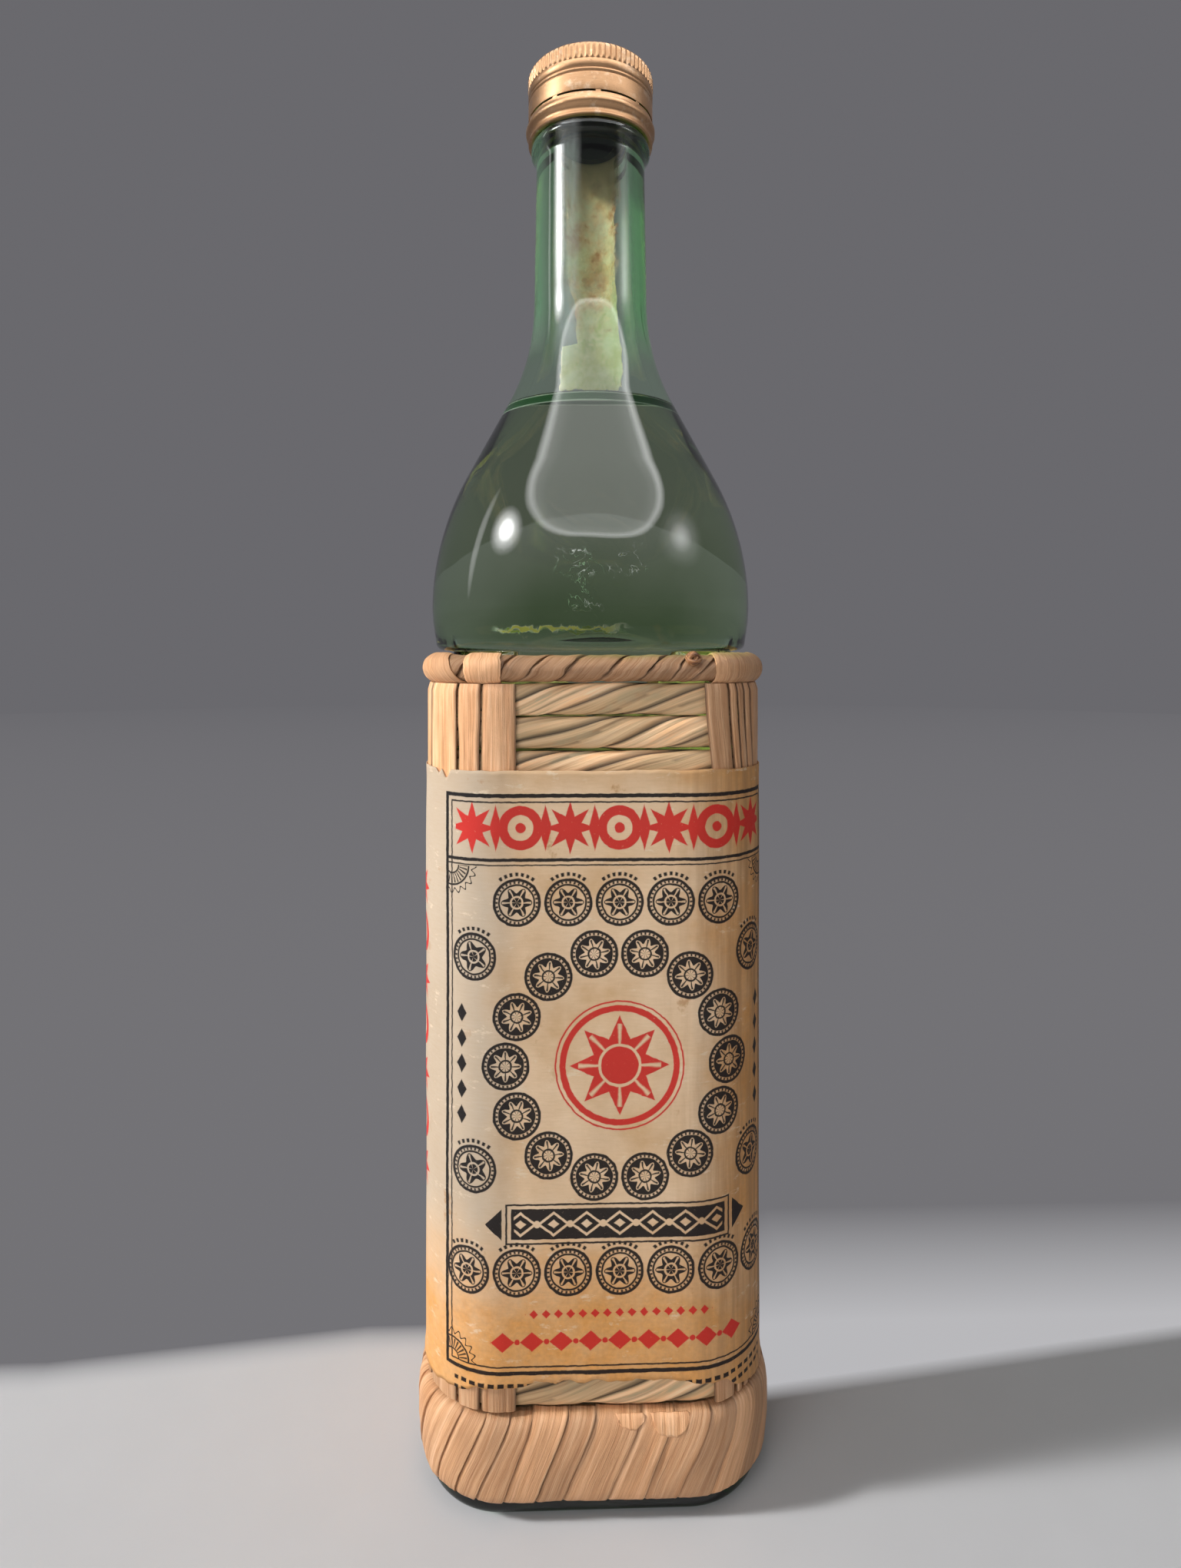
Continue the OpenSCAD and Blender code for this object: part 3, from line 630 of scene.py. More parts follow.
def outside_rows():
    """The outer wall from the middle of the punt up to the lip's inner edge."""
    rows = ball_rows((3, 8, 14, 20, 24, 25.6), PUNT_BALL) + [(0, 26.2, 0.05), (CORE, 14.6, 0)]
    rows += squares(arc(FOOT_R - HEEL, HEEL, HEEL, -90, 0, 7))
    rows += squares([(FOOT_R, 3.6), (17.4, 4.3), (16.9, FOOT_Z), (13.1, FOOT_Z), (BODY_R, 5.3)])
    rows += squares((BODY_R, z) for z in (30, 60, 90, 120, 150, 170))
    rows += [(CORE, BODY_R, 176, 40.4), (CORE, BODY_R, 180, 39.4), (CORE, BODY_R, 183.6, 37.4)]
    rows += rounds(arc(LEDGE_R - 2, 186, 2, -90, 0, 6) + [(39.06, 188.4), (39.4, 191)] + shoulder(0))
    rows += rounds([(14.1, 282), (13.9, 294), (NECK_TOP_R, 306)])
    finish = [(13.75, 307.1), (14.7, 308.75), (15, 309.2), (15, 310.6), (14.8, 311),
              (14.1, 311.8), (ROOT_R, 312.2), (ROOT_R, 312.9), (14.7, 313.5), (14.9, 313.9),
              (14.85, 314.5), (14.1, 315.1), (ROOT_R, 315.4)]
    finish += [(ROOT_R, z) for z in np.arange(315.8, 324.6, 0.28)]
    finish += [(ROOT_R - 0.8 + 0.8 * math.cos(t), LIP_Z - 0.8 + 0.8 * math.sin(t))
               for t in np.linspace(0.1, math.pi / 2, 6)]
    finish += [(BORE_R + 0.5, LIP_Z), (BORE_R + 0.1, LIP_Z - 0.2), (BORE_R, LIP_Z - 0.7)]
    return rows + rounds(finish)


def inside_rows():
    """The hollow's wall from under the lip down to the middle of the floor."""
    rows = rounds([(BORE_R, 315), (BORE_R, 311), (9.4, 306), (9.62, 300), (9.95, 291), (10.3, 281)])
    rows += rounds(shoulder(WALL)[::-1] + [(35.75, 191), (35.2, 189.2)])
    rows += [(2, 32.2, 187.8, 34.9), (8, 24.5, 186, 34.6), (14, 16.2, 184, 34.8),
             (CORE, 8.9, 181, 35.6), (CORE, 8.9, 176, 36.8)]
    rows += squares([(8.9, 150), (8.9, 100), (8.9, 50), (8.9, 12), (8.6, 9.6), (7.8, 7.6),
                     (6.4, 6.2), (4.4, 5.5), (2, 5.3)])
    rows += ball_rows((24, 19, 13, 7, 3), PUNT_BALL + 4)
    return rows


def inner_r(z):
    """Radius of the hollow at a height in the bulb."""
    rows = [row for row in inside_rows()[::-1] if row[2] >= BULB_Z]
    return float(np.interp(z, [row[2] for row in rows], [row[1] for row in rows]))


THREAD_Z = 318.3
THREAD_PITCH = 3.2
THREAD_GAP = 0.9


def thread(r, z, angle):
    """The finish's thread and faint waves of the blown glass."""
    turn = angle / TAU
    lift = np.zeros(r.shape)
    for lap in (0, 1):
        centre = THREAD_Z + THREAD_PITCH * (turn + lap)
        fade = smooth(0, 0.06, turn + lap) * (1 - smooth(1.42, 1.5, turn + lap))
        lift = np.maximum(lift, fade * smooth(0.9, 0.3, np.abs(z - centre)))
    lift = lift * smooth(13.6, 13.8, r) * (z > 315)
    wave = 0.05 * noise(angle * 2.2 + 1, z / 21, 11, 2) * smooth(186, 196, z) * (1 - smooth(295, 306, z))
    return lift + wave


def make_bottle():
    shape = Shape()
    sections(shape, outside_rows() + inside_rows(), 288, ripple=thread)
    shape.piece("glass_bottle_form", "bottle", glass_look(), ["glass_bottle"])


# How far the liqueur goes into the glass, and how far its edge climbs
SINK = 0.12
MENISCUS = 1.9


def make_liqueur():
    wall = [row for row in inside_rows()[::-1] if row[2] < LIQUID_Z - 1]
    rows = [(row[0], row[1] + SINK, row[2] - (SINK if row[2] < 8 else 0), *row[3:]) for row in wall]
    top_r = inner_r(LIQUID_Z + MENISCUS) + SINK
    level_r = inner_r(LIQUID_Z) + SINK
    rows += rounds([(level_r, LIQUID_Z), (top_r, LIQUID_Z + MENISCUS)])
    rows += rounds((top_r - drop, LIQUID_Z + rise * MENISCUS)
                   for drop, rise in ((0.3, 0.66), (0.8, 0.36), (1.6, 0.14), (3.0, 0.02)))
    rows += rounds((r, LIQUID_Z) for r in (top_r - 4, top_r / 2, 2))
    shape = Shape()
    sections(shape, rows, 192)
    shape.piece("liqueur_fill", "bottle", liqueur_look(), ["liqueur"])


# Pourer, cap and its tamper band
def make_pourer():
    low, high = pourer_low[2], pourer_high[2]
    flange = high - 1.3
    outline = [(6.2, low), (8.2, low), (8.7, low + 0.2), (9.1, low + 0.8)]
    for rib in range(3):
        z = low + 3 * (rib + 1)
        outline += [(9.12, z), (9.24, z + 0.4), (9.24, z + 0.8), (9.12, z + 1.2)]
    outline += [(9.12, flange), (12.9, flange), (13.1, flange + 0.2), (13.1, flange + 0.8),
                (12.95, high - 0.15), (12.6, high), (6.6, high), (6.3, high - 0.1), (6.2, high - 0.4)]
    shape = Shape()
    lathe(shape, outline, 144)
    shape.piece("pourer", "bottle", plastic_look(), ["pourer_insert"], 40)


def make_liner():
    low, high = liner_low[2], liner_high[2]
    r = liner_high[0]
    outline = [(2, low), (8, low), (12.6, low), (12.9, low + 0.12), (13.3, low + 0.12), (r - 0.4, low),
               (r, low + 0.35), (r, high - 0.5), (r - 0.5, high), (2, high)]
    shape = Shape()
    sections(shape, rounds(outline), 144)
    shape.piece("sealing_disc", "cap", liner_look(), ["cap_liner"], 40)


# Cap: radius, sheet, and the knurls round its top
CAP_R = 15.75
CAP_WALL = 0.4
KNURLS = 72
KNURL_H = 3.0
KNURL_DROP = 1.1


def cap_rows():
    low, high = cap_low[2], cap_high[2]
    inner = CAP_R - CAP_WALL
    knurl_top = high - KNURL_DROP
    roof = high - CAP_WALL
    rows = [(2, roof), (inner - 0.6, roof), (inner, roof - 0.6)]
    rows += [(inner, z) for z in np.linspace(high - 1.5, low + 0.3, 26)]
    rows += [(inner + 0.02, low), (CAP_R - 0.03, low - 0.02), (CAP_R, low + 0.12)]
    rows += [(CAP_R, low + 2), (CAP_R, low + 4)]
    for groove in (high - 7.3, high - 6.3):
        rows += [(CAP_R - dip, groove + dz)
                 for dz, dip in ((-0.34, 0), (-0.2, 0.1), (0, 0.22), (0.2, 0.1), (0.34, 0))]
    foot = knurl_top - KNURL_H
    rows += [(CAP_R + 0.02, foot - 0.9), (CAP_R - 0.02, foot - 0.35), (CAP_R - 0.16, foot - 0.1)]
    rows += [(CAP_R - 0.1, z) for z in np.linspace(foot, knurl_top, 9)]
    rows += arc(CAP_R - 1.25, knurl_top, 1.1, 12, 90, 7)
    rows += [(12, high), (7, high - 0.03), (2, high - 0.04)]
    return rounds(rows)


def knurl(r, z, angle):
    """Upright knurls round the top, the rolled thread inside, and small dents."""
    top = cap_high[2] - KNURL_DROP
    zone = smooth(top - KNURL_H - 0.1, top - KNURL_H + 0.35, z) * (1 - smooth(top - 0.1, top + 0.75, z))
    wave = np.cos(angle * KNURLS)
    ridge = np.sign(wave) * np.abs(wave) ** 0.7
    out = 0.2 * zone * ridge * (r > CAP_R - 0.9)
    turn = angle / TAU
    helix = np.zeros(r.shape)
    for lap in (0, 1):
        centre = THREAD_Z + THREAD_PITCH * (turn + lap) + THREAD_GAP
        helix = np.maximum(helix, smooth(0.8, 0.2, np.abs(z - centre)) * (turn + lap < 1.4))
    thread_in = -0.7 * helix * (np.abs(r - CAP_R + CAP_WALL) < 0.03)
    dent = 0.035 * noise(angle * 3, z / 5, 23, 2) * smooth(10, 14, r)
    return out + thread_in + dent


def make_cap():
    shape = Shape()
    sections(shape, cap_rows(), KNURLS * 8, ripple=knurl)
    shape.piece("cap", "cap", gold_look(), ["cap_shell"], 50)


# Bridges that hold the tamper band to the cap until it is opened
BRIDGES = 9
BRIDGE_TURN = math.radians(-85)


def make_tamper_band():
    low = band_low[2]
    lip = 14.6
    outer = [(15.25, low), (15.5, low + 0.05), (15.72, low + 0.3), (15.65, low + 0.6),
             (15.42, low + 0.95), (15.36, low + 1.5), (15.45, low + 1.95), (15.9, low + 2.45),
             (16.2, low + 2.75), (16.33, low + 3.1), (16.33, low + 3.6), (16.15, low + 4.0),
             (15.85, low + 4.4), (15.72, low + 4.65), (15.7, low + 5.0), (15.68, low + 5.25)]
    inner = [(r - CAP_WALL, z) for r, z in outer[:2:-1]]
    shape = Shape()

    def dents(r, z, angle):
        return 0.04 * noise(angle * 3.5, z / 3, 29, 2)

    lathe(shape, [(lip, low)] + outer + inner + [(15.1, low + 0.45), (lip, low + 0.4)], 288, dents)
    for k in range(BRIDGES):
        middle = BRIDGE_TURN + k * TAU / BRIDGES
        angle = middle + np.linspace(-0.04, 0.04, 5)
        z = np.array([low + 5.0, low + 5.25, low + 5.5, low + 5.72])[:, None]
        out, back = (spun(r, angle, z) for r in (15.66, 15.4))
        shape.shell(out, back, flat_uv(angle[None, :] * 16, z))
    shape.piece("tamper_band_form", "band", gold_look(), ["tamper_band"], 50)


# Paper seal down the back of the neck
# Its torn edges: (height, left, right)
SEAL_EDGES = [
    (253.5, -9.3, 10.4), (264.0, -9.3, 10.2), (265.4, -3.9, 9.9), (270.5, -4.2, 9.5), (276.8, -4.7, 9.4),
    (281, -7.2, 9.2), (286, -8.0, 9.1), (300, -8.7, 9.2), (307, -9.3, 9.1),
]


def make_seal():
    profile = np.array([(row[2], row[1]) for row in outside_rows() if BULB_Z <= row[2] < 309])
    height, left, right = np.array(SEAL_EDGES).T
    across = np.linspace(0, 1, 61)[None, :]
    share = np.linspace(0, 1, 200)[:, None]
    level = seal_low[2] + 0.2 + (FINISH_Z + 0.9 - seal_low[2]) * share
    low = np.interp(level, height, left) + 0.5 * noise(share * 31, 0.5, 33, 3)
    high = np.interp(level, height, right) + 0.35 * noise(share * 27, 1.5, 34, 3)
    x = low + (high - low) * across
    z = level + (1 - share) ** 6 * (0.6 + 0.6 * noise(across * 9, 0.5, 31, 3))
    z = z - share ** 9 * (0.5 + 0.5 * noise(across * 7, 0.5, 32, 3))
    r = np.interp(z, profile[:, 0], profile[:, 1])
    angle = math.pi / 2 - np.arcsin(x / (r + 0.3))
    lift = 0.12 + 0.08 * (1 + noise(x / 3, share * 14, 35, 3)) / 2
    out, back = (spun(radius, angle, z) for radius in (r + lift + 0.12, r + lift))
    shape = Shape()
    shape.shell(back, out, flat_uv(x, z))
    shape.piece("neck_seal_paper", "bottle", seal_look(), ["neck_seal"])


# Label: one sheet round the whole body, lapped at the back
LAP = 10.0
SHEET = 0.14
# Rows of rush that show through it: height of the first, and the step
ROW_Z = 25.9
ROW_PITCH = 7
# Its edges: (place, height) of the lower one, and (place, half width, depth) of the upper one's tears
LABEL_TOP = label_high[2]
LABEL_LOW = [(-150, 27.5), (-60, 26.5), (-42, 25.4), (-33, 25.8), (-26, 27.6), (-12, 29), (4, 29.4),
             (20, 29), (28, 27.5), (34, 24.2), (45, 22.9), (60, 24.5), (150, 27.5)]
TEARS = [(33.5, 1.6, 1.7), (36.2, 1.3, 0.9)]


def make_label():
    half = 2 * leg_length(LABEL_OFF)
    u = np.linspace(-half, half + LAP, 640)[None, :]
    up = np.linspace(0, 1, 150)[:, None]
    low = np.interp(u, *zip(*LABEL_LOW)) + 0.45 * noise(u / 3.1, 0.2, 41, 3)
    high = LABEL_TOP - 0.25 + 0.22 * noise(u / 4.7, 0.6, 43, 3)
    for at, half_width, depth in TEARS:
        high = high - depth * smooth(half_width, 0.2, np.abs(u + at))
    z = low + (high - low) * up
    lap = smooth(half - 2.5, half, u)
    swell = 0.11 * noise(u / 16, z / 23, 47, 3) * smooth(0, 4, high - z)
    row_wave = 0.02 * np.cos((z - ROW_Z) / ROW_PITCH * TAU) * (1 - smooth(17, 24, np.abs(np.abs(u) - 3)))
    curl = 0.18 * smooth(3, 0, z - low) * (1 + noise(u / 6, 0.9, 49, 2)) * (1 - lap)
    out = LABEL_OFF - 0.13 + (swell + row_wave) * (1 - 0.6 * lap) + 0.36 * lap + curl
    # The middle of the front lies CORE along the route
    skins = [route(u + CORE, LABEL_OFF, out - inset, z) for inset in (0, SHEET)]
    shape = Shape()
    shape.shell(*skins, flat_uv(u, z))
    shape.piece("label_sheet", "bottle", label_look(), ["label"])


# Twisted rush: one strand wound from the base band up to the rim
RUSH_MID = 15.05
RUSH_ROWS = 22
STRAND_HALF = 3.2
RUSH_FIRST = rush_low[2] + STRAND_HALF
RUSH_CLIMB = (rush_high[2] - rush_low[2] - 2 * STRAND_HALF) / (RUSH_ROWS - 1)
RUSH_TURN = 4 * leg_length(RUSH_MID)
PLY_PITCH = 56.0
PLIES = 3
STRAND_POINTS = 42
# Section of the strand: half axes, limits, and the power that squares it
STRAND_A = 2.15
STRAND_B = 3.95
STRAND_OUT = 17.42
STRAND_RISE = 3.46
SQUARENESS = 2.6


def make_rush():
    length = RUSH_TURN * RUSH_ROWS - 2 * CORE
    stops = [0.0]
    while stops[-1] < length:
        row = int(stops[-1] / RUSH_TURN)
        stops.append(stops[-1] + (1.15 if row < 2 or row >= RUSH_ROWS - 4 else 5.5))
    s = np.array(stops)[:, None]
    row = np.floor(s / RUSH_TURN)
    within = s - row * RUSH_TURN
    climb = smooth(RUSH_TURN - 2 * CORE + 3, RUSH_TURN - 3, within)
    z = RUSH_FIRST + RUSH_CLIMB * (row + climb) + 0.15 * noise(s / 19, 0.4, 51, 2)
    z = z + 0.6 * smooth(RUSH_ROWS - 3, RUSH_ROWS - 1, s / RUSH_TURN)
    # The grid turns with the plies; lap and fold are their seams, psi the angle in space
    phase = np.arange(STRAND_POINTS)[None, :] * TAU / STRAND_POINTS + 0 * s
    psi = phase + TAU * s / PLY_PITCH - 0.45 * noise(s / 23, 0.3, 53, 2)
    ply = np.mod(phase / TAU * PLIES, 1)
    second = np.mod(ply + 0.45 + 0.22 * noise(s / 27, np.floor(phase / TAU * PLIES), 57), 1)
    lap = smooth(0, 0.17, ply) * (1 - 0.8 * ply) - 1
    fold = (smooth(0, 0.15, second) * (1 - second) - 1) * (0.5 + 0.5 * noise(s / 19, 0.2, 58))
    fibre = 0.10 * noise(phase * 4.2, s / 17, 59, 3) + 0.07 * noise(phase * 13, s / 9, 61, 2)
    size = 1 + 0.2 * lap + 0.1 * fold + fibre / 2.6
    corner = np.abs(np.cos(psi)) ** SQUARENESS + np.abs(np.sin(psi)) ** SQUARENESS
    corner = corner ** (-1 / SQUARENESS)
    rise = np.clip(STRAND_B * corner * size * np.sin(psi), -STRAND_RISE, STRAND_RISE)
    out = RUSH_MID + STRAND_A * corner * size * np.cos(psi) + 0.1 * noise(s / 15, 0.7, 63, 2)
    start = 2 * leg_length(RUSH_MID) + 2 * CORE
    points = route(s + start, RUSH_MID, np.minimum(out, STRAND_OUT), z + rise)
    tone = (np.floor(phase / TAU * PLIES) % PLIES + 0.5 * noise(s / 40, 0.5, 65)) / PLIES
    # Seam mark: painted shade along the plies' seams, and top and bottom where the rows meet
    seam_shade = np.maximum(smooth(0.16, 0, ply), 0.5 * smooth(0.13, 0, second))
    tone = (tone, np.maximum(seam_shade, smooth(0.93, 1.0, np.abs(np.sin(psi)))))
    shape = Shape()
    turn = np.arange(STRAND_POINTS + 1)[None, :] / STRAND_POINTS * TAU + 0 * s
    first = shape.grid(points, flat_uv(s, turn * 2.7), tone, wrap_cols=True, flip=True)
    last = first + (len(points) - 1) * STRAND_POINTS
    for ring, end, flip in ((first, points[0], False), (last, points[-1], True)):
        shape.fan(np.arange(STRAND_POINTS) + ring, np.zeros((STRAND_POINTS, 2)), end.mean(0), flip)
    shape.piece("rush_strand", "bottle", rush_look(), ["rush_winding"])


# Husk wound obliquely round the rim cord and round the base
STRIP_STOPS = np.array([0, 0.04, 0.12, 0.25, 0.4, 0.55, 0.7, 0.82, 0.92, 0.985])


def strips(count, seed, spread, sway, loop):
    """Strips of uneven width round a loop: row by row the place counted in strips, the strip,
    the share of its width, the place on the loop, its tilt, and two random numbers."""
    widths = 1 + spread * (np.random.default_rng(seed).random(count) - 0.5)
    edges = np.concatenate([[0], np.cumsum(widths) / widths.sum()])
    rng = np.random.default_rng(seed + 2)
    lean = rng.normal(0, sway, count)
    q = np.concatenate([k + STRIP_STOPS for k in range(count)])[:, None]
    k = np.floor(q).astype(int)
    t = q - k
    base = (edges[k] + (edges[k + 1] - edges[k]) * t) * loop
    tilt = lean[k] * (1 - t) + lean[(k + 1) % count] * t
    return q, k, t, base, tilt, rng.random(count)[k], rng.random(count)[k]


def belt(shape, outer, inner, uv, tone, end_u):
    """Closed loop of a thin section: outer and inner skins joined along both edges."""
    uv = np.concatenate([uv, uv[:1]])
    uv[-1, :, 0] = end_u
    n, m = outer.shape[:2]
    a = shape.grid(outer, uv, tone, wrap_rows=True, flip=True)
    b = shape.grid(inner, uv, tone, wrap_rows=True)
    i = np.arange(n)
    ni = (i + 1) % n
    for j, flip in ((0, False), (m - 1, True)):
        quads = np.stack([i * m + j + a, ni * m + j + a, ni * m + j + b, i * m + j + b], -1)
        corner = np.stack([uv[i, j], uv[i + 1, j], uv[i + 1, j], uv[i, j]], 1)
        if flip:
            quads, corner = quads[:, ::-1], corner[:, ::-1]
        shape.faces.append(quads)
        shape.uvs.append(corner)


RIM_STRIPS = 34
RIM_SLANT = 7.2
RIM_STRIP_W = 9.7


def make_rim():
    q, k, t, base, tilt, deep, tone = strips(RIM_STRIPS, 71, 0.7, 1.1, 4 * leg_length(RIM_OFF))
    ends = np.radians(np.linspace(-140, 140, 31))[None, :]
    s = base + (RIM_SLANT + tilt) * ends / math.pi + 0.35 * noise(k * 3.7, ends * 2, 75, 2)
    wrinkle = 0.05 * noise(base / 1.1, ends * 1.3, 77, 3) + 0.07 * noise(base / 5, ends * 2, 79, 2)
    lift = 0.5 * smooth(0, 0.12, t) + 0.1 * t + 0.08 * np.sin(t * 9 + k)
    r = RIM_R - 0.62 + lift + wrinkle
    # Seam mark: painted shade where one strip goes under the next, deeper on some strips
    gap = np.maximum(smooth(0.12, 0.01, t), smooth(0.94, 1.0, t))
    seam_shade = (0.3 + 0.7 * deep) * gap + np.zeros(ends.shape)
    shape = Shape()
    uv = flat_uv(q * RIM_STRIP_W, ends * RIM_R)
    belt(shape, round_cord(s, r, ends), round_cord(s, RIM_R - 1.0, ends), uv,
         (tone + np.zeros(ends.shape), seam_shade), RIM_STRIPS * RIM_STRIP_W)
    shape.piece("rim_winding", "bottle", husk_look("husk_rim", 0.35), ["rim_wrap"], 60)


BASE_OFF = 19.6
BASE_STRIPS = 40
BASE_SLANT = 7.6
BASE_DROOP = 0.9
BASE_STRIP_W = 11.3
# Bulge over the share of the band's height
BASE_OUTLINE = [(0.0, -1.75), (0.0, -1.5), (0.015, -1.1), (0.06, -0.45), (0.13, -0.12), (0.25, 0.12),
                (0.4, 0.3), (0.55, 0.38), (0.7, 0.3), (0.82, 0.05), (0.9, -0.3), (0.96, -0.9),
                (0.99, -1.6), (1.0, -2.6), (1.0, -3.6)]


def make_base():
    q, k, t, base, tilt, deep, tone = strips(BASE_STRIPS, 81, 0.75, 0.7, 4 * leg_length(BASE_OFF))
    outline = np.array(BASE_OUTLINE)
    share, bulge = outline[:, 0][None, :], outline[:, 1][None, :]
    s = base + (BASE_SLANT + tilt) * share + 0.12 * noise(k * 3.1, share * 5, 85, 2)
    wrinkle = 0.07 * noise(base / 0.9, share * 2.2, 87, 3) + 0.1 * noise(base / 6, share * 3, 89, 2)
    lift = 0.42 * smooth(0, 0.1, t) + 0.12 * t - 0.4
    out = BASE_OFF + bulge + lift + wrinkle
    high, low = base_high[2], base_low[2]
    fray = 0.22 * noise(base / 1.3, 0.5, 91, 3) * smooth(0.8, 1, share)
    dip = 0.25 * noise(base / 9, 0.2, 93, 2) * share
    z = low + (high - low - 0.45) * share + fray + dip - BASE_DROOP * smooth(0.3, 0, share)
    z = np.clip(z, low - BASE_DROOP - 0.3, high)
    inset_z = np.clip(z + 0.5 * smooth(0.3, 0, share), low - BASE_DROOP, high - 0.6)
    # Seam mark: painted shade where one strip goes under the next, deeper on some strips
    gap = np.maximum(smooth(0.07, 0.01, t), smooth(0.965, 1.0, t))
    seam_shade = (0.25 + 0.7 * deep ** 1.5) * gap + np.zeros(s.shape)
    steps = np.hypot(np.diff(outline[:, 0]) * (high - low), np.diff(outline[:, 1]))
    along = np.concatenate([[0], np.cumsum(steps)])[None, :]
    shape = Shape()
    belt(shape, route(s, BASE_OFF, out, z),
         route(s, BASE_OFF, np.minimum(out, BASE_OFF) - 0.75, inset_z),
         flat_uv(q * BASE_STRIP_W, along), (tone + np.zeros(s.shape), seam_shade),
         BASE_STRIPS * BASE_STRIP_W)
    shape.piece("base_winding", "bottle", husk_look("husk_base", 0.57), ["base_wrap"], 60)


# Husk straps down the four corners
REACH = 16.6
# Strips of a corner: where each starts and ends, as shares of the reach from the corner
LEFT_SHARES = [(-1, -0.6), (-0.57, -0.4), (-0.37, 0.2), (0.23, 0.54), (0.57, 1)]
RIGHT_SHARES = [(-0.5, -0.17), (-0.14, -0.03), (0, 0.11), (0.14, 0.27), (0.3, 0.6), (0.63, 1)]
STRAP_IN = 17.45


def make_straps(side, corner, shares, seed, lean, pale):
    middle = 2 * CORE + math.pi * STRAP_IN / 4
    rng = np.random.default_rng(seed)
    low, high = strap_low[2] + 0.05, strap_high[2] + 0.75
    heights = np.concatenate([np.linspace(low, 34, 9), np.linspace(45, 145, 6), np.linspace(152, high, 30)])
    shape = Shape()
    for n, (first, last) in enumerate(shares):
        width = (last - first) * REACH
        count = max(9, int(width / 0.45))
        share = np.linspace(0, 1, count)[None, :]
        z = heights[:, None]
        edge = 0.16 * noise(z / 9, n * 2.3, seed, 2) * (1 - 2 * share)
        shift = lean * smooth(150, high, z)
        s = corner * leg_length(STRAP_IN) + middle + first * REACH + width * share + edge + shift
        crown = np.sqrt(np.maximum(1 - (2 * share - 1) ** 4, 0))
        rib = 0.05 * noise(share * width / 0.9, z / 60, seed + n, 3)
        crease = -0.12 * smooth(0.07, 0, np.abs(share - rng.uniform(0.3, 0.7))) * (width > 5)
        tuck = -0.5 * smooth(high - 1.6, high, z)
        out = STRAP_IN + 0.2 + 0.36 * crown + rib + crease + tuck
        back = np.minimum(out - 0.22, STRAP_IN + 0.06)
        # Seam mark: painted shade along each strip's edges
        seam_shade = np.maximum(smooth(0.06, 0, share), smooth(0.94, 1, share)) + 0 * z
        # Tone is darker below 36 mm: painted shade under the label's foot, together with dirt
        tone = (pale + 0.4 * rng.random() - 0.9 * smooth(36, 24, z) + 0.0 * s, seam_shade)
        uv = flat_uv(share * width + n * 23, z + 0 * share)
        shape.shell(route(s, STRAP_IN, out, z), route(s, STRAP_IN, back, z), uv, tone)
    shape.piece(f"strap_set_{side}", "bottle", STRAP_LOOK, [f"straps_{side}"], 60)


# Cuffs of husk over the rim cord at the corners
CUFF_END = 138


def make_cuff(corner, first, last, name, node, seed, slant=0.0, pale=0.5):
    """Sheet of husk round the cord, between two angles of a corner's quarter turn."""
    length = math.radians(last - first) * (RIM_OFF + RIM_R)
    across = np.linspace(0, 1, max(14, int(length / 0.4)))[:, None]
    turn = np.radians(np.linspace(-CUFF_END, CUFF_END, 36))[None, :]
    s0 = corner * leg_length(RIM_OFF) + 2 * CORE
    spin = np.radians(first + (last - first) * across)
    wobble = 0.012 * noise(turn * 2.5, across * 2, seed, 2)
    s = s0 + (spin + wobble) * RIM_OFF + slant * turn / math.pi
    side = np.sqrt(np.maximum(1 - (2 * across - 1) ** 6, 0))
    grain = 0.07 * noise(across * length / 0.8, turn * 0.8, seed + 1, 3)
    body = 0.1 * noise(across * length / 4, turn * 2, seed + 3, 2)
    r = np.minimum(RIM_R + 0.28 + 0.22 * side + grain + body, RIM_R + 0.72)
    shape = Shape()
    uv = flat_uv(across * length + seed, turn * RIM_R + 0 * across)
    tone = pale + 0.4 * noise(across * 2 + 0 * turn, seed * 0.37, seed + 5)
    inner = round_cord(s, np.maximum(r - 0.3, RIM_R + 0.04), turn)
    shape.shell(round_cord(s, r, turn), inner, uv, tone)
    shape.piece(name, "bottle", STRAP_LOOK, [node], 60)


def make_knot():
    """Knot of the rim's binding: four rings of husk, each tilted another way."""
    shape = Shape()
    knot_low, knot_high = span("rim_knot")
    middle, half = (knot_low + knot_high) / 2, (knot_high - knot_low) / 2
    tilts = [(0.5, 0.2, 2.1), (-0.7, 0.5, 1.8), (1.5, 0.1, 1.5), (0.9, -0.8, 1.2)]
    around, across = 40, 12
    rings = []
    for k, (tip, lean, r) in enumerate(tilts):
        t = np.arange(around)[:, None] * TAU / around
        a = np.arange(across)[None, :] * TAU / across
        thick = 0.62 + 0.14 * noise(t * 2.5, a * 2, 95 + k, 2)
        ring_r = r + thick * np.cos(a)
        ring = stacked(ring_r * np.cos(t), ring_r * np.sin(t) * 0.85, thick * np.sin(a))
        cos_t, sin_t, cos_l, sin_l = math.cos(tip), math.sin(tip), math.cos(lean), math.sin(lean)
        turn = np.array([[cos_l, -sin_l * cos_t, sin_l * sin_t],
                         [sin_l, cos_l * cos_t, -cos_l * sin_t], [0, sin_t, cos_t]])
        rings.append(ring @ turn.T)
    size = np.abs(np.concatenate([ring.reshape(-1, 3) for ring in rings])).max(0)
    uv = flat_uv(np.arange(across + 1)[None, :] * 0.3, np.arange(around + 1)[:, None] * 0.25)
    for k, ring in enumerate(rings):
        shape.grid(ring / size * half * 0.98 + middle, uv, 0.3 * k, wrap_rows=True, wrap_cols=True,
                   flip=True)
    shape.piece("rim_knot_form", "bottle", knot_look(), ["rim_knot"])


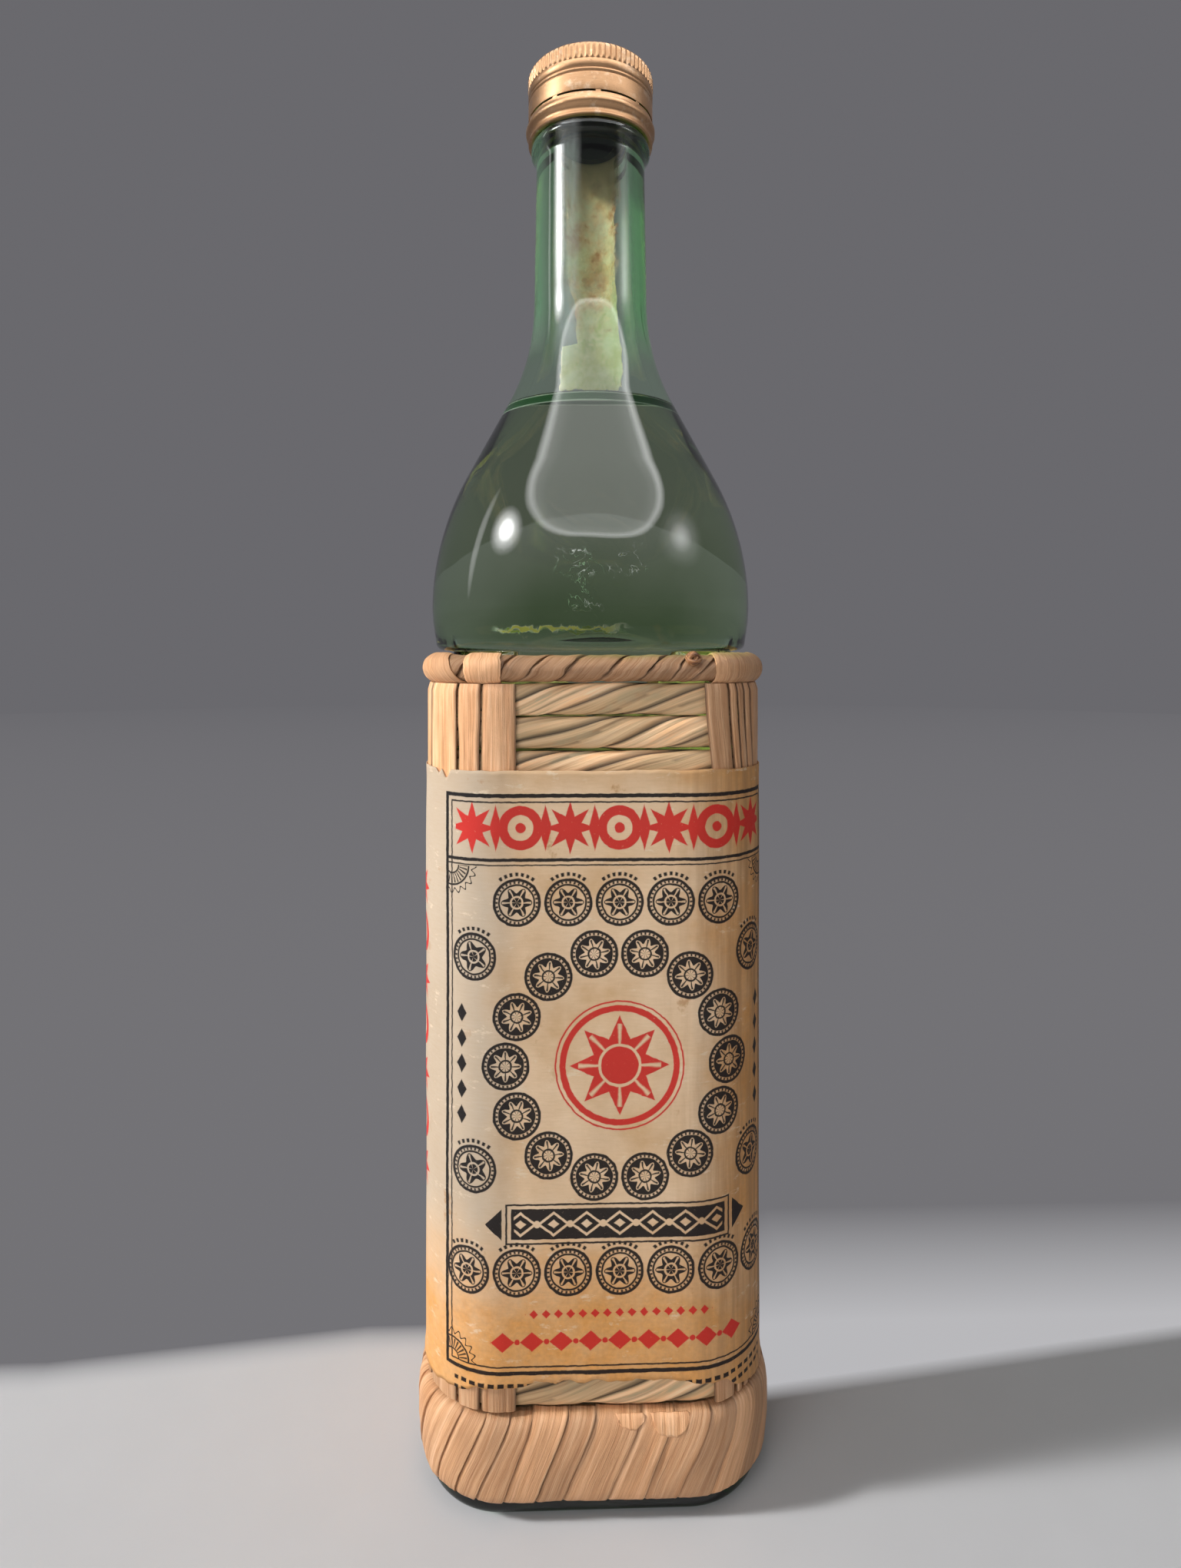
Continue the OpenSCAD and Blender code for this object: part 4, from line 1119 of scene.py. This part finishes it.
def make_flaps():
    """Torn strip ends folded down over the base band's upper edge."""
    shape = Shape()
    for k, (x0, half, drop) in enumerate(((7.0, 2.9, 2.3), (15.4, 4.0, 4.2))):
        share = np.linspace(-1, 1, 19)[None, :]
        down = np.linspace(0, 1, 9)[:, None]
        edge = drop * (np.sqrt(np.maximum(1 - share ** 2, 0)) * 0.8 + 0.15
                       * (1 + noise(share * 3, k, 97, 2)))
        z = base_high[2] - 0.25 - down * np.maximum(edge, 0.15)
        x = x0 + share * half + down * 0.5
        bulge = np.interp((z - base_low[2]) / (base_high[2] - base_low[2]), *zip(*BASE_OUTLINE[5:13]))
        y = -(CORE + BASE_OFF + bulge + 0.2 + 0.1 * noise(share * 2, down * 2, 99 + k, 2))
        y = np.maximum(y, base_low[1] + 0.02)
        uv = flat_uv(x + 0 * down, z)
        shape.shell(stacked(x, y, z)[::-1], stacked(x, y + 0.15, z)[::-1], uv[::-1], 0.8)
    shape.piece("base_flap_ends", "bottle", STRAP_LOOK, ["base_flaps"])


# Materials
# Height of the line of dregs, and radius of the liqueur's edge
DREGS_Z = 188.6
EDGE_R = inner_r(LIQUID_Z)


def glass_look():
    look = Look("bottle_glass")
    place = look.place()
    wave = look.noise(place, 0.05, 2, 0.4)
    x, y, z = look.split(place)
    # Painted shade darkens the bulb low down in the middle, and a few scuffs roughen its front
    cloud = look.noise(place, 0.05, 2) * 14
    off_middle = abs(x - 2.0)
    painted_shade_low = look.fade(z + cloud, 218, 200) * look.fade(off_middle + cloud, 40, 22)
    painted_shade_low = painted_shade_low * look.fade(z, 184, 188)
    colour = look.mix(painted_shade_low, (1, 1, 1), (0.55, 0.66, 0.5))
    # Painted shade: the glass foot darkened from 8 mm down
    colour = look.mix(look.fade(z, 8, 5), colour, (0.03, 0.08, 0.03))
    scribble = abs(look.noise(place, 0.2, 2, 0.5, 1.4) - 0.5)
    front = look.fade(y, -20, -30)
    here = look.fade(off_middle, 11, 8) * (look.fade(z, 192, 195) * look.fade(z, 207, 204)) * front
    here = here * look.fade(look.noise(place, 0.11, 2, 0.5), 0.52, 0.58)
    scuffs = look.fade(scribble, 0.01, 0.005) * here
    ragged = (look.noise(place, 0.3, 3, 0.6) - 0.5) * 5
    silt = look.fade(abs(z + ragged - DREGS_Z), 0.45, 0.2) * front
    silt = silt * (look.fade(x, -22, -20) * look.fade(x, 8, 2))
    # Painted shade: a dark ring where the liqueur's surface meets the wall
    ring = look.fade(abs(z - LIQUID_Z - 0.4), 1.3, 0.8)
    ring = ring * look.fade(look.far(x, y), EDGE_R + 0.9, EDGE_R + 0.5)
    # Dust and a painted sheen in streaks down the neck's front, mostly on the left, paper left inside its
    # back, and painted green light down the sides
    top = look.fade(z, 316, 312)
    neck = look.fade(z, 250, 262) * top
    cracks = look.noise(look.xyz(x * 2.2, y, z * 0.35), 0.5, 4, 0.6)
    dust_and_sheen = look.fade(abs(x + 5.8), 3.4, 1.4) | look.fade(abs(x - 8.2), 2.4, 1.2, 0, 0.6)
    dust_and_sheen = dust_and_sheen * look.fade(cracks, 0.3, 0.62, 0.3, 1) * look.fade(y, -4, -9) * neck
    torn = (look.noise(place, 0.16, 4, 0.6) - 0.5) * 9
    paper = look.fade(abs(x + torn), 8.4, 7.4) * look.fade(z + torn * 6, 272, 306, 0, 0.85)
    paper = paper * look.fade(y, 3, 6) * neck
    # Painted light: a pale green coat down the neck's sides stands in for light refracted through the thick
    # glass there
    painted_side_light = look.fade(abs(x), 9.8, 12.6) * look.fade(z, 256, 268) * top
    blotch = look.noise(place, 0.17, 4, 0.6)
    rust = look.ramp(blotch, (0.34, (0.60, 0.22, 0.12)), (0.44, (0.96, 0.60, 0.46)),
                     (0.6, (0.98, 0.80, 0.68)))
    rust = look.mix(look.fade(z, 298, 308), rust, (0.98, 0.62, 0.48))
    colour = look.coats(colour, (painted_side_light * 0.8, (0.30, 0.72, 0.38)), (dust_and_sheen, (0.80, 0.84, 0.86)),
                        (scuffs, (0.60, 0.66, 0.58)), (silt, (0.26, 0.27, 0.045)),
                        (ring, (0.012, 0.055, 0.016)), (look.fade(paper, 0, 0.1), rust))
    film = dust_and_sheen * 0.13 | painted_side_light * 0.1 | paper | ring * 0.85 | (scuffs | silt) * 0.6
    look.set(Base_Color=colour, Roughness=scuffs * 0.4, IOR=1.5, Transmission_Weight=1.0 - film,
             Normal=look.bump(scuffs, 0.1, look.bump(wave, 0.1)))
    look.absorb((0.15, 0.917, 0.117), 38)
    look.let_lamps_through((0.995, 0.998, 0.995))
    return look


def liqueur_look():
    look = Look("liqueur_clear")
    drift = look.noise(look.place(), 0.05, 2)
    look.set(Base_Color=(1, 1, 1), Roughness=0.0, IOR=1.36, Transmission_Weight=1.0,
             Normal=look.bump(drift, 0.02))
    look.absorb((1.0, 0.65, 0.1), 3.0)
    look.let_lamps_through((0.97, 0.98, 0.95))
    return look


def plastic_look():
    look = Look("pourer_plastic")
    grain = look.noise(look.place(), 3, 3)
    colour = look.ramp(grain, (0.3, (0.008, 0.008, 0.008)), (0.8, (0.02, 0.019, 0.018)))
    look.set(Base_Color=colour, Roughness=look.fade(grain, 0, 1, 0.5, 0.7), Specular_IOR_Level=0.25,
             Normal=look.bump(grain, 0.02))
    return look


def liner_look():
    look = Look("liner_white")
    grain = look.noise(look.place(), 1.5, 3)
    colour = look.ramp(grain, (0.3, (0.72, 0.7, 0.65)), (0.8, (0.85, 0.84, 0.8)))
    look.set(Base_Color=colour, Roughness=0.5, Normal=look.bump(grain, 0.02))
    return look


def gold_look():
    look = Look("gold_aluminium")
    place = look.place()
    x, y, z = look.split(place)
    brushed = look.noise(look.xyz(look.turn(y, x) * 3.0, z * 9.0), 1.0, 4, 0.6)
    wear = look.noise(place, 0.35, 5, 0.65)
    spots = look.noise(place, 1.6, 3, 0.6)
    gold = look.ramp(brushed, (0.25, (0.50, 0.27, 0.13)), (0.75, (0.66, 0.39, 0.20)))
    colour = look.coats(gold, (look.fade(wear, 0.55, 0.72), (0.76, 0.56, 0.38)),
                        (look.fade(spots, 0.62, 0.75) * 0.5, (0.22, 0.12, 0.06)))
    look.set(Base_Color=colour, Metallic=1.0, Roughness=look.fade(brushed, 0.2, 0.8, 0.36, 0.5),
             Coat_Weight=0.5, Coat_Roughness=0.35,
             Normal=look.bump(brushed, 0.02, look.bump(wear, 0.06)))
    return look


def seal_look():
    look = Look("seal_paper")
    u, v = look.uv()
    flat = look.xyz(u, v)
    fade = look.fade(v + look.noise(flat, 0.12, 3) * 16, 268, 306)
    blotch = look.noise(flat, 0.22, 5, 0.65)
    base = look.mix(fade, (0.74, 0.40, 0.19), (0.98, 0.56, 0.43))
    olive = look.fade(look.noise(flat, 0.16, 3, 0.6, 0.4), 0.58, 0.68)
    brown = look.fade(look.noise(flat, 0.19, 4, 0.6), 0.57, 0.66) * look.fade(v, 262, 288, 0.1, 0.8)
    specks = look.fade(look.noise(flat, 1.1, 4, 0.7), 0.62, 0.7)
    colour = look.coats(base, (look.fade(blotch, 0.42, 0.62), (0.96, 0.56, 0.44)),
                        (olive * 0.7, (0.42, 0.27, 0.05)), (brown, (0.62, 0.20, 0.09)),
                        (specks * 0.6, (0.30, 0.16, 0.05)))
    look.set(Base_Color=colour, Roughness=0.8, Normal=look.bump(blotch, 0.15),
             Subsurface_Weight=0.6, Subsurface_Scale=0.003, Subsurface_Radius=(1.0, 0.7, 0.5))
    return look


# Paleness at which husk has the colours of its ramp
HUSK_PALE = 0.55


def husk_look(name, pale):
    """Dry husk: u runs across the grain and v along it, in millimetres."""
    look = Look(name)
    u, v = look.uv()
    tone, seam_shade = look.mark("tone"), look.mark("seam_shade")
    fibre = look.grain(u, v, 0.34, 14, 4, 0.6, 0.3)
    streak = look.grain(u, v, 1.9, 60, 3, 0.5)
    patch = look.grain(u, v, 5, 9, 4, 0.6)
    dots = look.grain(u, v, 0.3, 0.55, 2, 0.6)
    light = fibre * 0.55 + streak * 0.45
    colour = look.ramp(light, (0.3, (0.34, 0.14, 0.055)), (0.44, (0.58, 0.29, 0.135)),
                       (0.56, (0.74, 0.42, 0.225)), (0.74, (0.90, 0.60, 0.38)))
    # Shade: tone differs per strip, and the seam mark paints shade where one strip goes under the next
    shade = look.fade(tone, 0, 1, 0.7, 1.14) * look.fade(seam_shade, 0, 1, 1.0, 0.3)
    patches = look.fade(patch, 0.3, 0.75, 0.86, 1.08)
    colour = look.shaded(colour, shade * patches * (pale / HUSK_PALE))
    colour = look.mix(look.fade(patch, 0.62, 0.78) * 0.3, colour, (0.38, 0.16, 0.05))
    look.set(Base_Color=colour, Roughness=look.fade(fibre, 0.3, 0.7, 0.62, 0.45),
             Specular_IOR_Level=0.35, Normal=look.bump(fibre * 0.8 + dots * 0.2, 0.22))
    return look


def rush_look():
    """Twisted rush: u runs along the strand and v round it, in millimetres."""
    look = Look("rush_twisted")
    u, v = look.uv()
    tone, seam_shade = look.mark("tone"), look.mark("seam_shade")
    fibre = look.grain(u, v, 30, 0.42, 4, 0.6, 0.2)
    streak = look.grain(u, v, 40, 1.6, 3, 0.55, 0.15)
    patch = look.grain(u, v, 9, 3.5, 3, 0.6)
    light = fibre * 0.36 + streak * 0.64
    colour = look.ramp(light, (0.34, (0.34, 0.17, 0.075)), (0.46, (0.66, 0.42, 0.225)),
                       (0.56, (0.86, 0.58, 0.34)), (0.7, (0.95, 0.72, 0.48)))
    warm = look.fade(streak, 0.52, 0.62) * look.fade(patch, 0.4, 0.6)
    grown = look.fade(streak, 0.5, 0.4) * look.fade(patch, 0.56, 0.44, 0, 0.75)
    colour = look.coats(colour, (warm, (0.95, 0.54, 0.27)), (grown, (0.40, 0.33, 0.20)),
                        (look.fade(tone, 0.5, 0.36, 0, 0.4), (0.56, 0.38, 0.19)))
    # Shade: tone differs per ply, and the seam mark paints shade between plies and between rows
    shade = look.fade(tone, 0, 1, 0.95, 1.3) * look.fade(seam_shade, 0, 1, 1.0, 0.1)
    look.set(Base_Color=look.shaded(colour, shade), Roughness=0.6, Specular_IOR_Level=0.3,
             Normal=look.bump(fibre, 0.16))
    return look


def knot_look():
    look = Look("knot_husk")
    u, v = look.uv()
    fibre = look.grain(u, v, 0.3, 3, 4, 0.6)
    colour = look.ramp(fibre, (0.35, (0.09, 0.03, 0.01)), (0.5, (0.34, 0.14, 0.05)),
                       (0.68, (0.70, 0.40, 0.19)))
    look.set(Base_Color=colour, Roughness=0.35, Normal=look.bump(fibre, 0.15))
    return look


# Print on the label, a made-up ornament: masks over x and y in millimetres, from 0 to 1
class Print(Look):
    """Distances and masks that the print is drawn with."""

    BLUR = 0.08

    def within(self, distance, blur=BLUR):
        """Mask where a signed distance is below zero."""
        return self.fade(distance, blur, -blur)

    def line(self, distance, width):
        return self.within(abs(distance) - width / 2)

    def box(self, x, y, half_x, half_y):
        """Signed distance to a box about the origin."""
        return abs(x) - half_x | abs(y) - half_y

    def lozenge(self, x, y, half_x, half_y):
        """Signed distance to a lozenge, near enough for its edge."""
        return (abs(x) / half_x + abs(y) / half_y - 1.0) * (min(half_x, half_y) * 0.8)

    def repeat(self, x, step, shift=0.0):
        """Coordinate within the nearest cell of a row."""
        cell = ((x + (shift + step / 2)) / step).floor()
        return x + shift - cell * step

    def spokes(self, x, y, count):
        """Angle folded to one of count equal sectors, from 0 on its middle line."""
        sector = TAU / count
        angle = self.turn(y, x) + (TAU + sector / 2)
        return abs(angle % sector - sector / 2)

    def star(self, x, y, tip, waist, count):
        """Signed distance to a star with straight sides."""
        r, fold = self.far(x, y), self.spokes(x, y, count)
        half = math.pi / count
        dx, dy = waist * math.cos(half) - tip, waist * math.sin(half)
        size = math.hypot(dx, dy)
        return (r * fold.cos() - tip) * (dy / size) + r * fold.sin() * (-dx / size)

    def targets(self, x, y, star_x, star_y):
        """Discs in rings round one row of points, and stars round another."""
        r = self.far(x, y)
        star = self.within(self.star(star_x, star_y, 5.6, 2.6, 8))
        return self.line(r - 3.7, 2.0) | self.within(r - 1.1) | star

    def medallion(self, x, y, petals=8):
        """Rosette between two rings, with engraved shading."""
        r = self.far(x, y)
        fold = self.spokes(x, y, petals)
        rings = self.line(r - 4.8, 0.62) | self.line(r - 3.75, 0.42)
        wave = (fold * petals).cos() * 0.62
        flower = self.within(r - 2.7 - wave)
        ticks = self.line(r - 4.3, 0.6) * self.within(self.spokes(x, y, 30) - 0.05, 0.03)
        heart = self.line(r - 1.25, 0.4) | self.within(fold - 0.07, 0.04) * self.within(r - 3.1)
        if petals == 8:
            disc = self.within(r - 3.75)
            return rings | ticks | disc * (1.0 - flower * (1.0 - heart))
        return rings | ticks | flower * (1.0 - heart)

    def arch(self, x, y, radius):
        """Row of small dashes bent over the upper side of a medallion."""
        r = self.far(x, y)
        angle = self.turn(x, y)
        dash = self.repeat(angle, 0.2)
        near = self.within(abs(angle) - 0.72, 0.03)
        return self.line(r - radius, 0.8) * near * self.within(abs(dash) - 0.055, 0.02)


FRAME_MID = 92.2
FRAME_HALF_X = 38.0
FRAME_HALF_Y = 61.0
FRAME_GAP = 1.3
STAR_Y = 96.0
TOP_LINE_Y = 138.5
MEDAL_STEP = 10.9
# Rows of medallions: (height, half width)
MEDAL_ROWS = ((130.6, 27.0), (52.4, 38.0))
ARCH_R = 6.0
RING_R = 24.2
RING_COUNT = 14
BAR_Y = 62.6
BAR_STEP = 7.0
DASH_ROWS = (28.6, 26.6)


def black_print(look, x, y):
    """Black mask: frame, fans, medallions, bar and dashes."""
    frame_d = look.box(x, y - FRAME_MID, FRAME_HALF_X, FRAME_HALF_Y)
    black = look.line(frame_d, 0.85) | look.line(frame_d + 1.35, 0.34)
    inside = look.within(frame_d)
    band = look.line(y - (TOP_LINE_Y + 1.1), 0.7) | look.line(y - TOP_LINE_Y, 0.3)
    black = black | band * inside
    # Fans in the four corners
    edge_x = FRAME_HALF_X - FRAME_GAP - abs(x)
    low_y, high_y = y - (FRAME_MID - FRAME_HALF_Y + FRAME_GAP), TOP_LINE_Y - 0.3 - y
    for edge_y in (low_y, high_y):
        r = look.far(edge_x, edge_y)
        arcs = look.line(r - 1.9, 0.35) | look.line(r - 4.4, 0.4)
        rays = look.within(look.spokes(edge_x, edge_y, 28) - 0.05, 0.03) * look.line(r - 3.1, 2.0)
        leaves = (look.spokes(edge_x, edge_y, 20) * 20).cos()
        lace = look.line(r - 5.7 - leaves * 0.5, 0.35)
        black = black | (arcs | rays | lace) * inside * look.within(edge_y * -1.0)
    # Rows of medallions above and below, and a ring of them about the star
    cell = look.repeat(x, MEDAL_STEP)
    for row_y, half in MEDAL_ROWS:
        row = look.medallion(cell, y - row_y, 6) | look.arch(cell, y - row_y, ARCH_R)
        black = black | row * look.within(look.box(x, y - row_y, half, 7))
    ring_y = y - STAR_Y
    r = look.far(x, ring_y)
    angle = look.turn(ring_y, x)
    sector = TAU / RING_COUNT
    turn = angle - ((angle + sector / 2) / sector).floor() * sector
    ring_u = r * turn.cos() - RING_R
    ring_v = r * turn.sin()
    black = black | look.medallion(ring_u, ring_v, 8)
    for side_y in (STAR_Y + 23.0, STAR_Y - 22.0):
        corner_x, corner_y = abs(x) - 31.2, y - side_y
        black = black | look.medallion(corner_x, corner_y, 5) | look.arch(corner_x, corner_y, ARCH_R)
    dots_u = look.repeat(ring_y, 5.4)
    dots = look.within(look.lozenge(abs(x) - 34.0, dots_u, 1.2, 2.0))
    black = black | dots * look.within(abs(ring_y) - 13)
    # Bar with pointed ends and pale lozenges
    bar_y = y - BAR_Y
    bar = look.within(look.box(x, bar_y, 23.0, 3.2))
    bar_line = look.line(look.box(x, bar_y, 24.0, 4.1), 0.4)
    tips = look.within(abs(x) - 28.6 + abs(bar_y) * 1.1) * look.within(25.0 - abs(x))
    chain_u = look.repeat(x, BAR_STEP)
    half_u = look.repeat(x, BAR_STEP, BAR_STEP / 2)
    chain = (look.line(look.lozenge(chain_u, bar_y, 3.1, 2.3), 0.5)
             | look.within(look.lozenge(chain_u, bar_y, 1.2, 0.9))
             | look.within(look.far(half_u, bar_y) - 0.75))
    chain = chain * look.within(abs(x) - 22.4)
    black = black | bar * (1.0 - chain) | bar_line | tips
    # Fine black dashes under the frame
    dash_u = look.repeat(x, 2.1)
    for dash_y in DASH_ROWS:
        dash = look.within(look.box(dash_u, y - dash_y, 0.68, 0.42))
        black = black | dash * look.within(abs(x) - 36)
    return black


STAR_STEP = 21.0
FRIEZE_Y = 146.4
CHAIN_Y = 99.5
CHAIN_X = 51.5
SMALL_Y = 43.6
SMALL_STEP = 2.6
LARGE_Y = 37.8
LARGE_STEP = 6.2


def red_print(look, x, y):
    """Red mask: frieze, star, two rows of lozenges, and the chains on the flanks."""
    frieze_y = y - FRIEZE_Y
    ring_x = look.repeat(x, STAR_STEP)
    star_x = look.repeat(x, STAR_STEP, STAR_STEP / 2)
    slim_x = look.repeat(x, STAR_STEP / 2, STAR_STEP / 4)
    frieze = (look.targets(ring_x, frieze_y, star_x, frieze_y)
              | look.within(look.lozenge(slim_x, frieze_y, 1.35, 4.9)))
    red = frieze * look.within(abs(x) - 35.6)
    ring_y = y - STAR_Y
    r = look.far(x, ring_y)
    star = look.within(look.star(x, ring_y, 10.6, 6.0, 8))
    pale = (look.line(r - 4.3, 0.6) | look.within(look.spokes(x, ring_y, 8) - 0.05, 0.03)
            * look.line(r - 6.6, 4.4))
    red = red | star * (1.0 - pale) | look.line(r - 12.1, 1.3) | look.line(r - 13.6, 0.35)
    small = look.within(look.lozenge(look.repeat(x, SMALL_STEP), y - SMALL_Y, 0.95, 0.95))
    red = red | small * look.within(abs(x) - 20)
    large_u = look.repeat(x, LARGE_STEP)
    gap_u = look.repeat(x, LARGE_STEP, LARGE_STEP / 2)
    large_y = y - LARGE_Y
    large = (look.within(look.lozenge(large_u, large_y, 2.5, 2.1))
             | look.within(look.far(gap_u, large_y) - 0.6))
    red = red | large * look.within(abs(x) - 27.4)
    side_x = abs(x) - CHAIN_X
    up = y - CHAIN_Y
    chain = look.targets(side_x, look.repeat(up, STAR_STEP),
                         side_x, look.repeat(up, STAR_STEP, STAR_STEP / 2))
    return red | chain * look.within(abs(up) - 37.2)


PRINT_X = 5.0
RED_INK = (0.60, 0.022, 0.018)
BLACK_INK = (0.005, 0.005, 0.008)


def label_look():
    look = Print("label_paper")
    u, v = look.uv()
    flat = look.xyz(u, v)
    stains = look.noise(flat, 0.035, 5, 0.6)
    fine = look.noise(flat, 0.9, 4, 0.6)
    fibres = look.grain(u, v, 3.5, 0.5, 4, 0.6)
    blots = look.noise(flat, 0.13, 5, 0.62)
    drift = (look.noise(flat, 0.6, 2) - 0.5) * 0.35
    x, y = u - PRINT_X + drift, v + drift
    red, black = red_print(look, x, y), black_print(look, x, y)
    paper = look.ramp(stains, (0.35, (0.84, 0.62, 0.42)), (0.52, (0.76, 0.53, 0.33)),
                      (0.68, (0.62, 0.38, 0.19)))
    low = look.fade(v + stains * -26, 52, 30)
    top = look.fade(v + blots * 9, 157.5, 162.5)
    side = look.fade(u + stains * 34, 36, 54) * look.fade(u, 66, 44, 0.2, 1)
    back = look.fade(abs(u) + stains * 60, 120, 170, 0, 0.6)
    uneven = look.fade(blots, 0.35, 0.6, 0.98, 0.72)
    amber = look.mix(look.fade(fine, 0.35, 0.65), (0.64, 0.29, 0.075), (0.76, 0.35, 0.095))
    left = look.fade(u + stains * 8, -12, -21, 0, 0.75)
    left = left * (1.0 - low) * look.fade(u, -62, -44, 0.3, 1)
    drip = look.grain(u, v, 2.2, 40, 4, 0.6)
    drips = look.fade(drip, 0.4, 0.6, 0.3, 1) * look.fade(u, 12, 34) * look.fade(u, 60, 40, 0.3, 0.85)
    spots = look.fade(blots, 0.62, 0.68) * look.fade(look.noise(flat, 0.05, 2), 0.45, 0.6)
    rub = look.fade(look.grain(u, v, 7, 3, 5, 0.7), 0.60, 0.68) * 0.55
    paper = look.coats(paper, ((top | back) * 0.5, (0.60, 0.34, 0.14)), ((low | side) * uneven, amber),
                       (left, (0.46, 0.39, 0.31)), (drips, (0.40, 0.21, 0.09)),
                       (spots * 0.55, (0.40, 0.17, 0.04)), (rub, (0.84, 0.70, 0.52)),
                       (look.fade(fibres, 0.35, 0.7, 0, 0.14), (0.42, 0.27, 0.13)))
    worn = look.fade(look.noise(flat, 1.5, 4, 0.7), 0.3, 0.36, 0.7, 1.0)
    colour = look.coats(paper, (red * worn * 0.96, RED_INK), (black * worn * 0.97, BLACK_INK))
    look.set(Base_Color=colour, Roughness=look.fade(fine, 0.3, 0.7, 0.5, 0.66),
             Specular_IOR_Level=0.15, Normal=look.bump(fine, 0.05, look.bump(blots, 0.12)))
    return look


STRAP_LOOK = husk_look("husk_straps", 0.66)

make_bottle()
make_liqueur()
make_pourer()
make_liner()
make_cap()
make_tamper_band()
make_seal()
make_label()
make_rush()
make_rim()
make_base()
# Paleness per corner is painted light and shade: lighter on the lit front left, darkest on the shaded front
# right
for side, corner, shares, seed, lean, pale in (
        ("front_left", 3, LEFT_SHARES, 101, 0.0, 0.6), ("front_right", 0, RIGHT_SHARES, 103, -2.0, 0.0),
        ("back_left", 2, RIGHT_SHARES, 105, -1.0, 0.3), ("back_right", 1, LEFT_SHARES, 107, 0.8, 0.3)):
    make_straps(side, corner, shares, seed, lean, pale)
# Cuff paleness is painted light and shade: darker at the shaded front right, paler on the strap fold at the
# lit front left
make_cuff(3, 6, 54, "cuff_sheet_front_left", "cuff_front_left", 111, slant=-5)
make_cuff(0, 18, 76, "cuff_sheet_front_right", "cuff_front_right", 113, pale=0.1)
make_cuff(2, 18, 76, "cuff_sheet_back_left", "cuff_back_left", 115)
make_cuff(1, 6, 54, "cuff_sheet_back_right", "cuff_back_right", 117, slant=4)
make_cuff(3, 64, 89, "strap_fold_sheet", "strap_fold", 119, pale=0.9)
make_knot()
make_flaps()


# Cores inside the two windings keep their own solids
def core_look():
    look = Look("rush_core")
    x, y, z = look.split(look.place())
    fibre = look.noise(look.xyz(look.turn(y, x) * 4, z * 3), 1.0, 4, 0.6)
    colour = look.ramp(fibre, (0.3, (0.15, 0.09, 0.04)), (0.7, (0.45, 0.32, 0.16)))
    look.set(Base_Color=colour, Roughness=0.7, Normal=look.bump(fibre, 0.2))
    return look.material


core_finish = core_look()
for core_node in ("rim_core", "base_core"):
    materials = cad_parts[core_node].data.materials
    materials.clear()
    materials.append(core_finish)


def plain(box):
    return [[float(value) for value in corner] for corner in box]


{"cad": plain(cad_box), "scene": plain(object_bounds())}
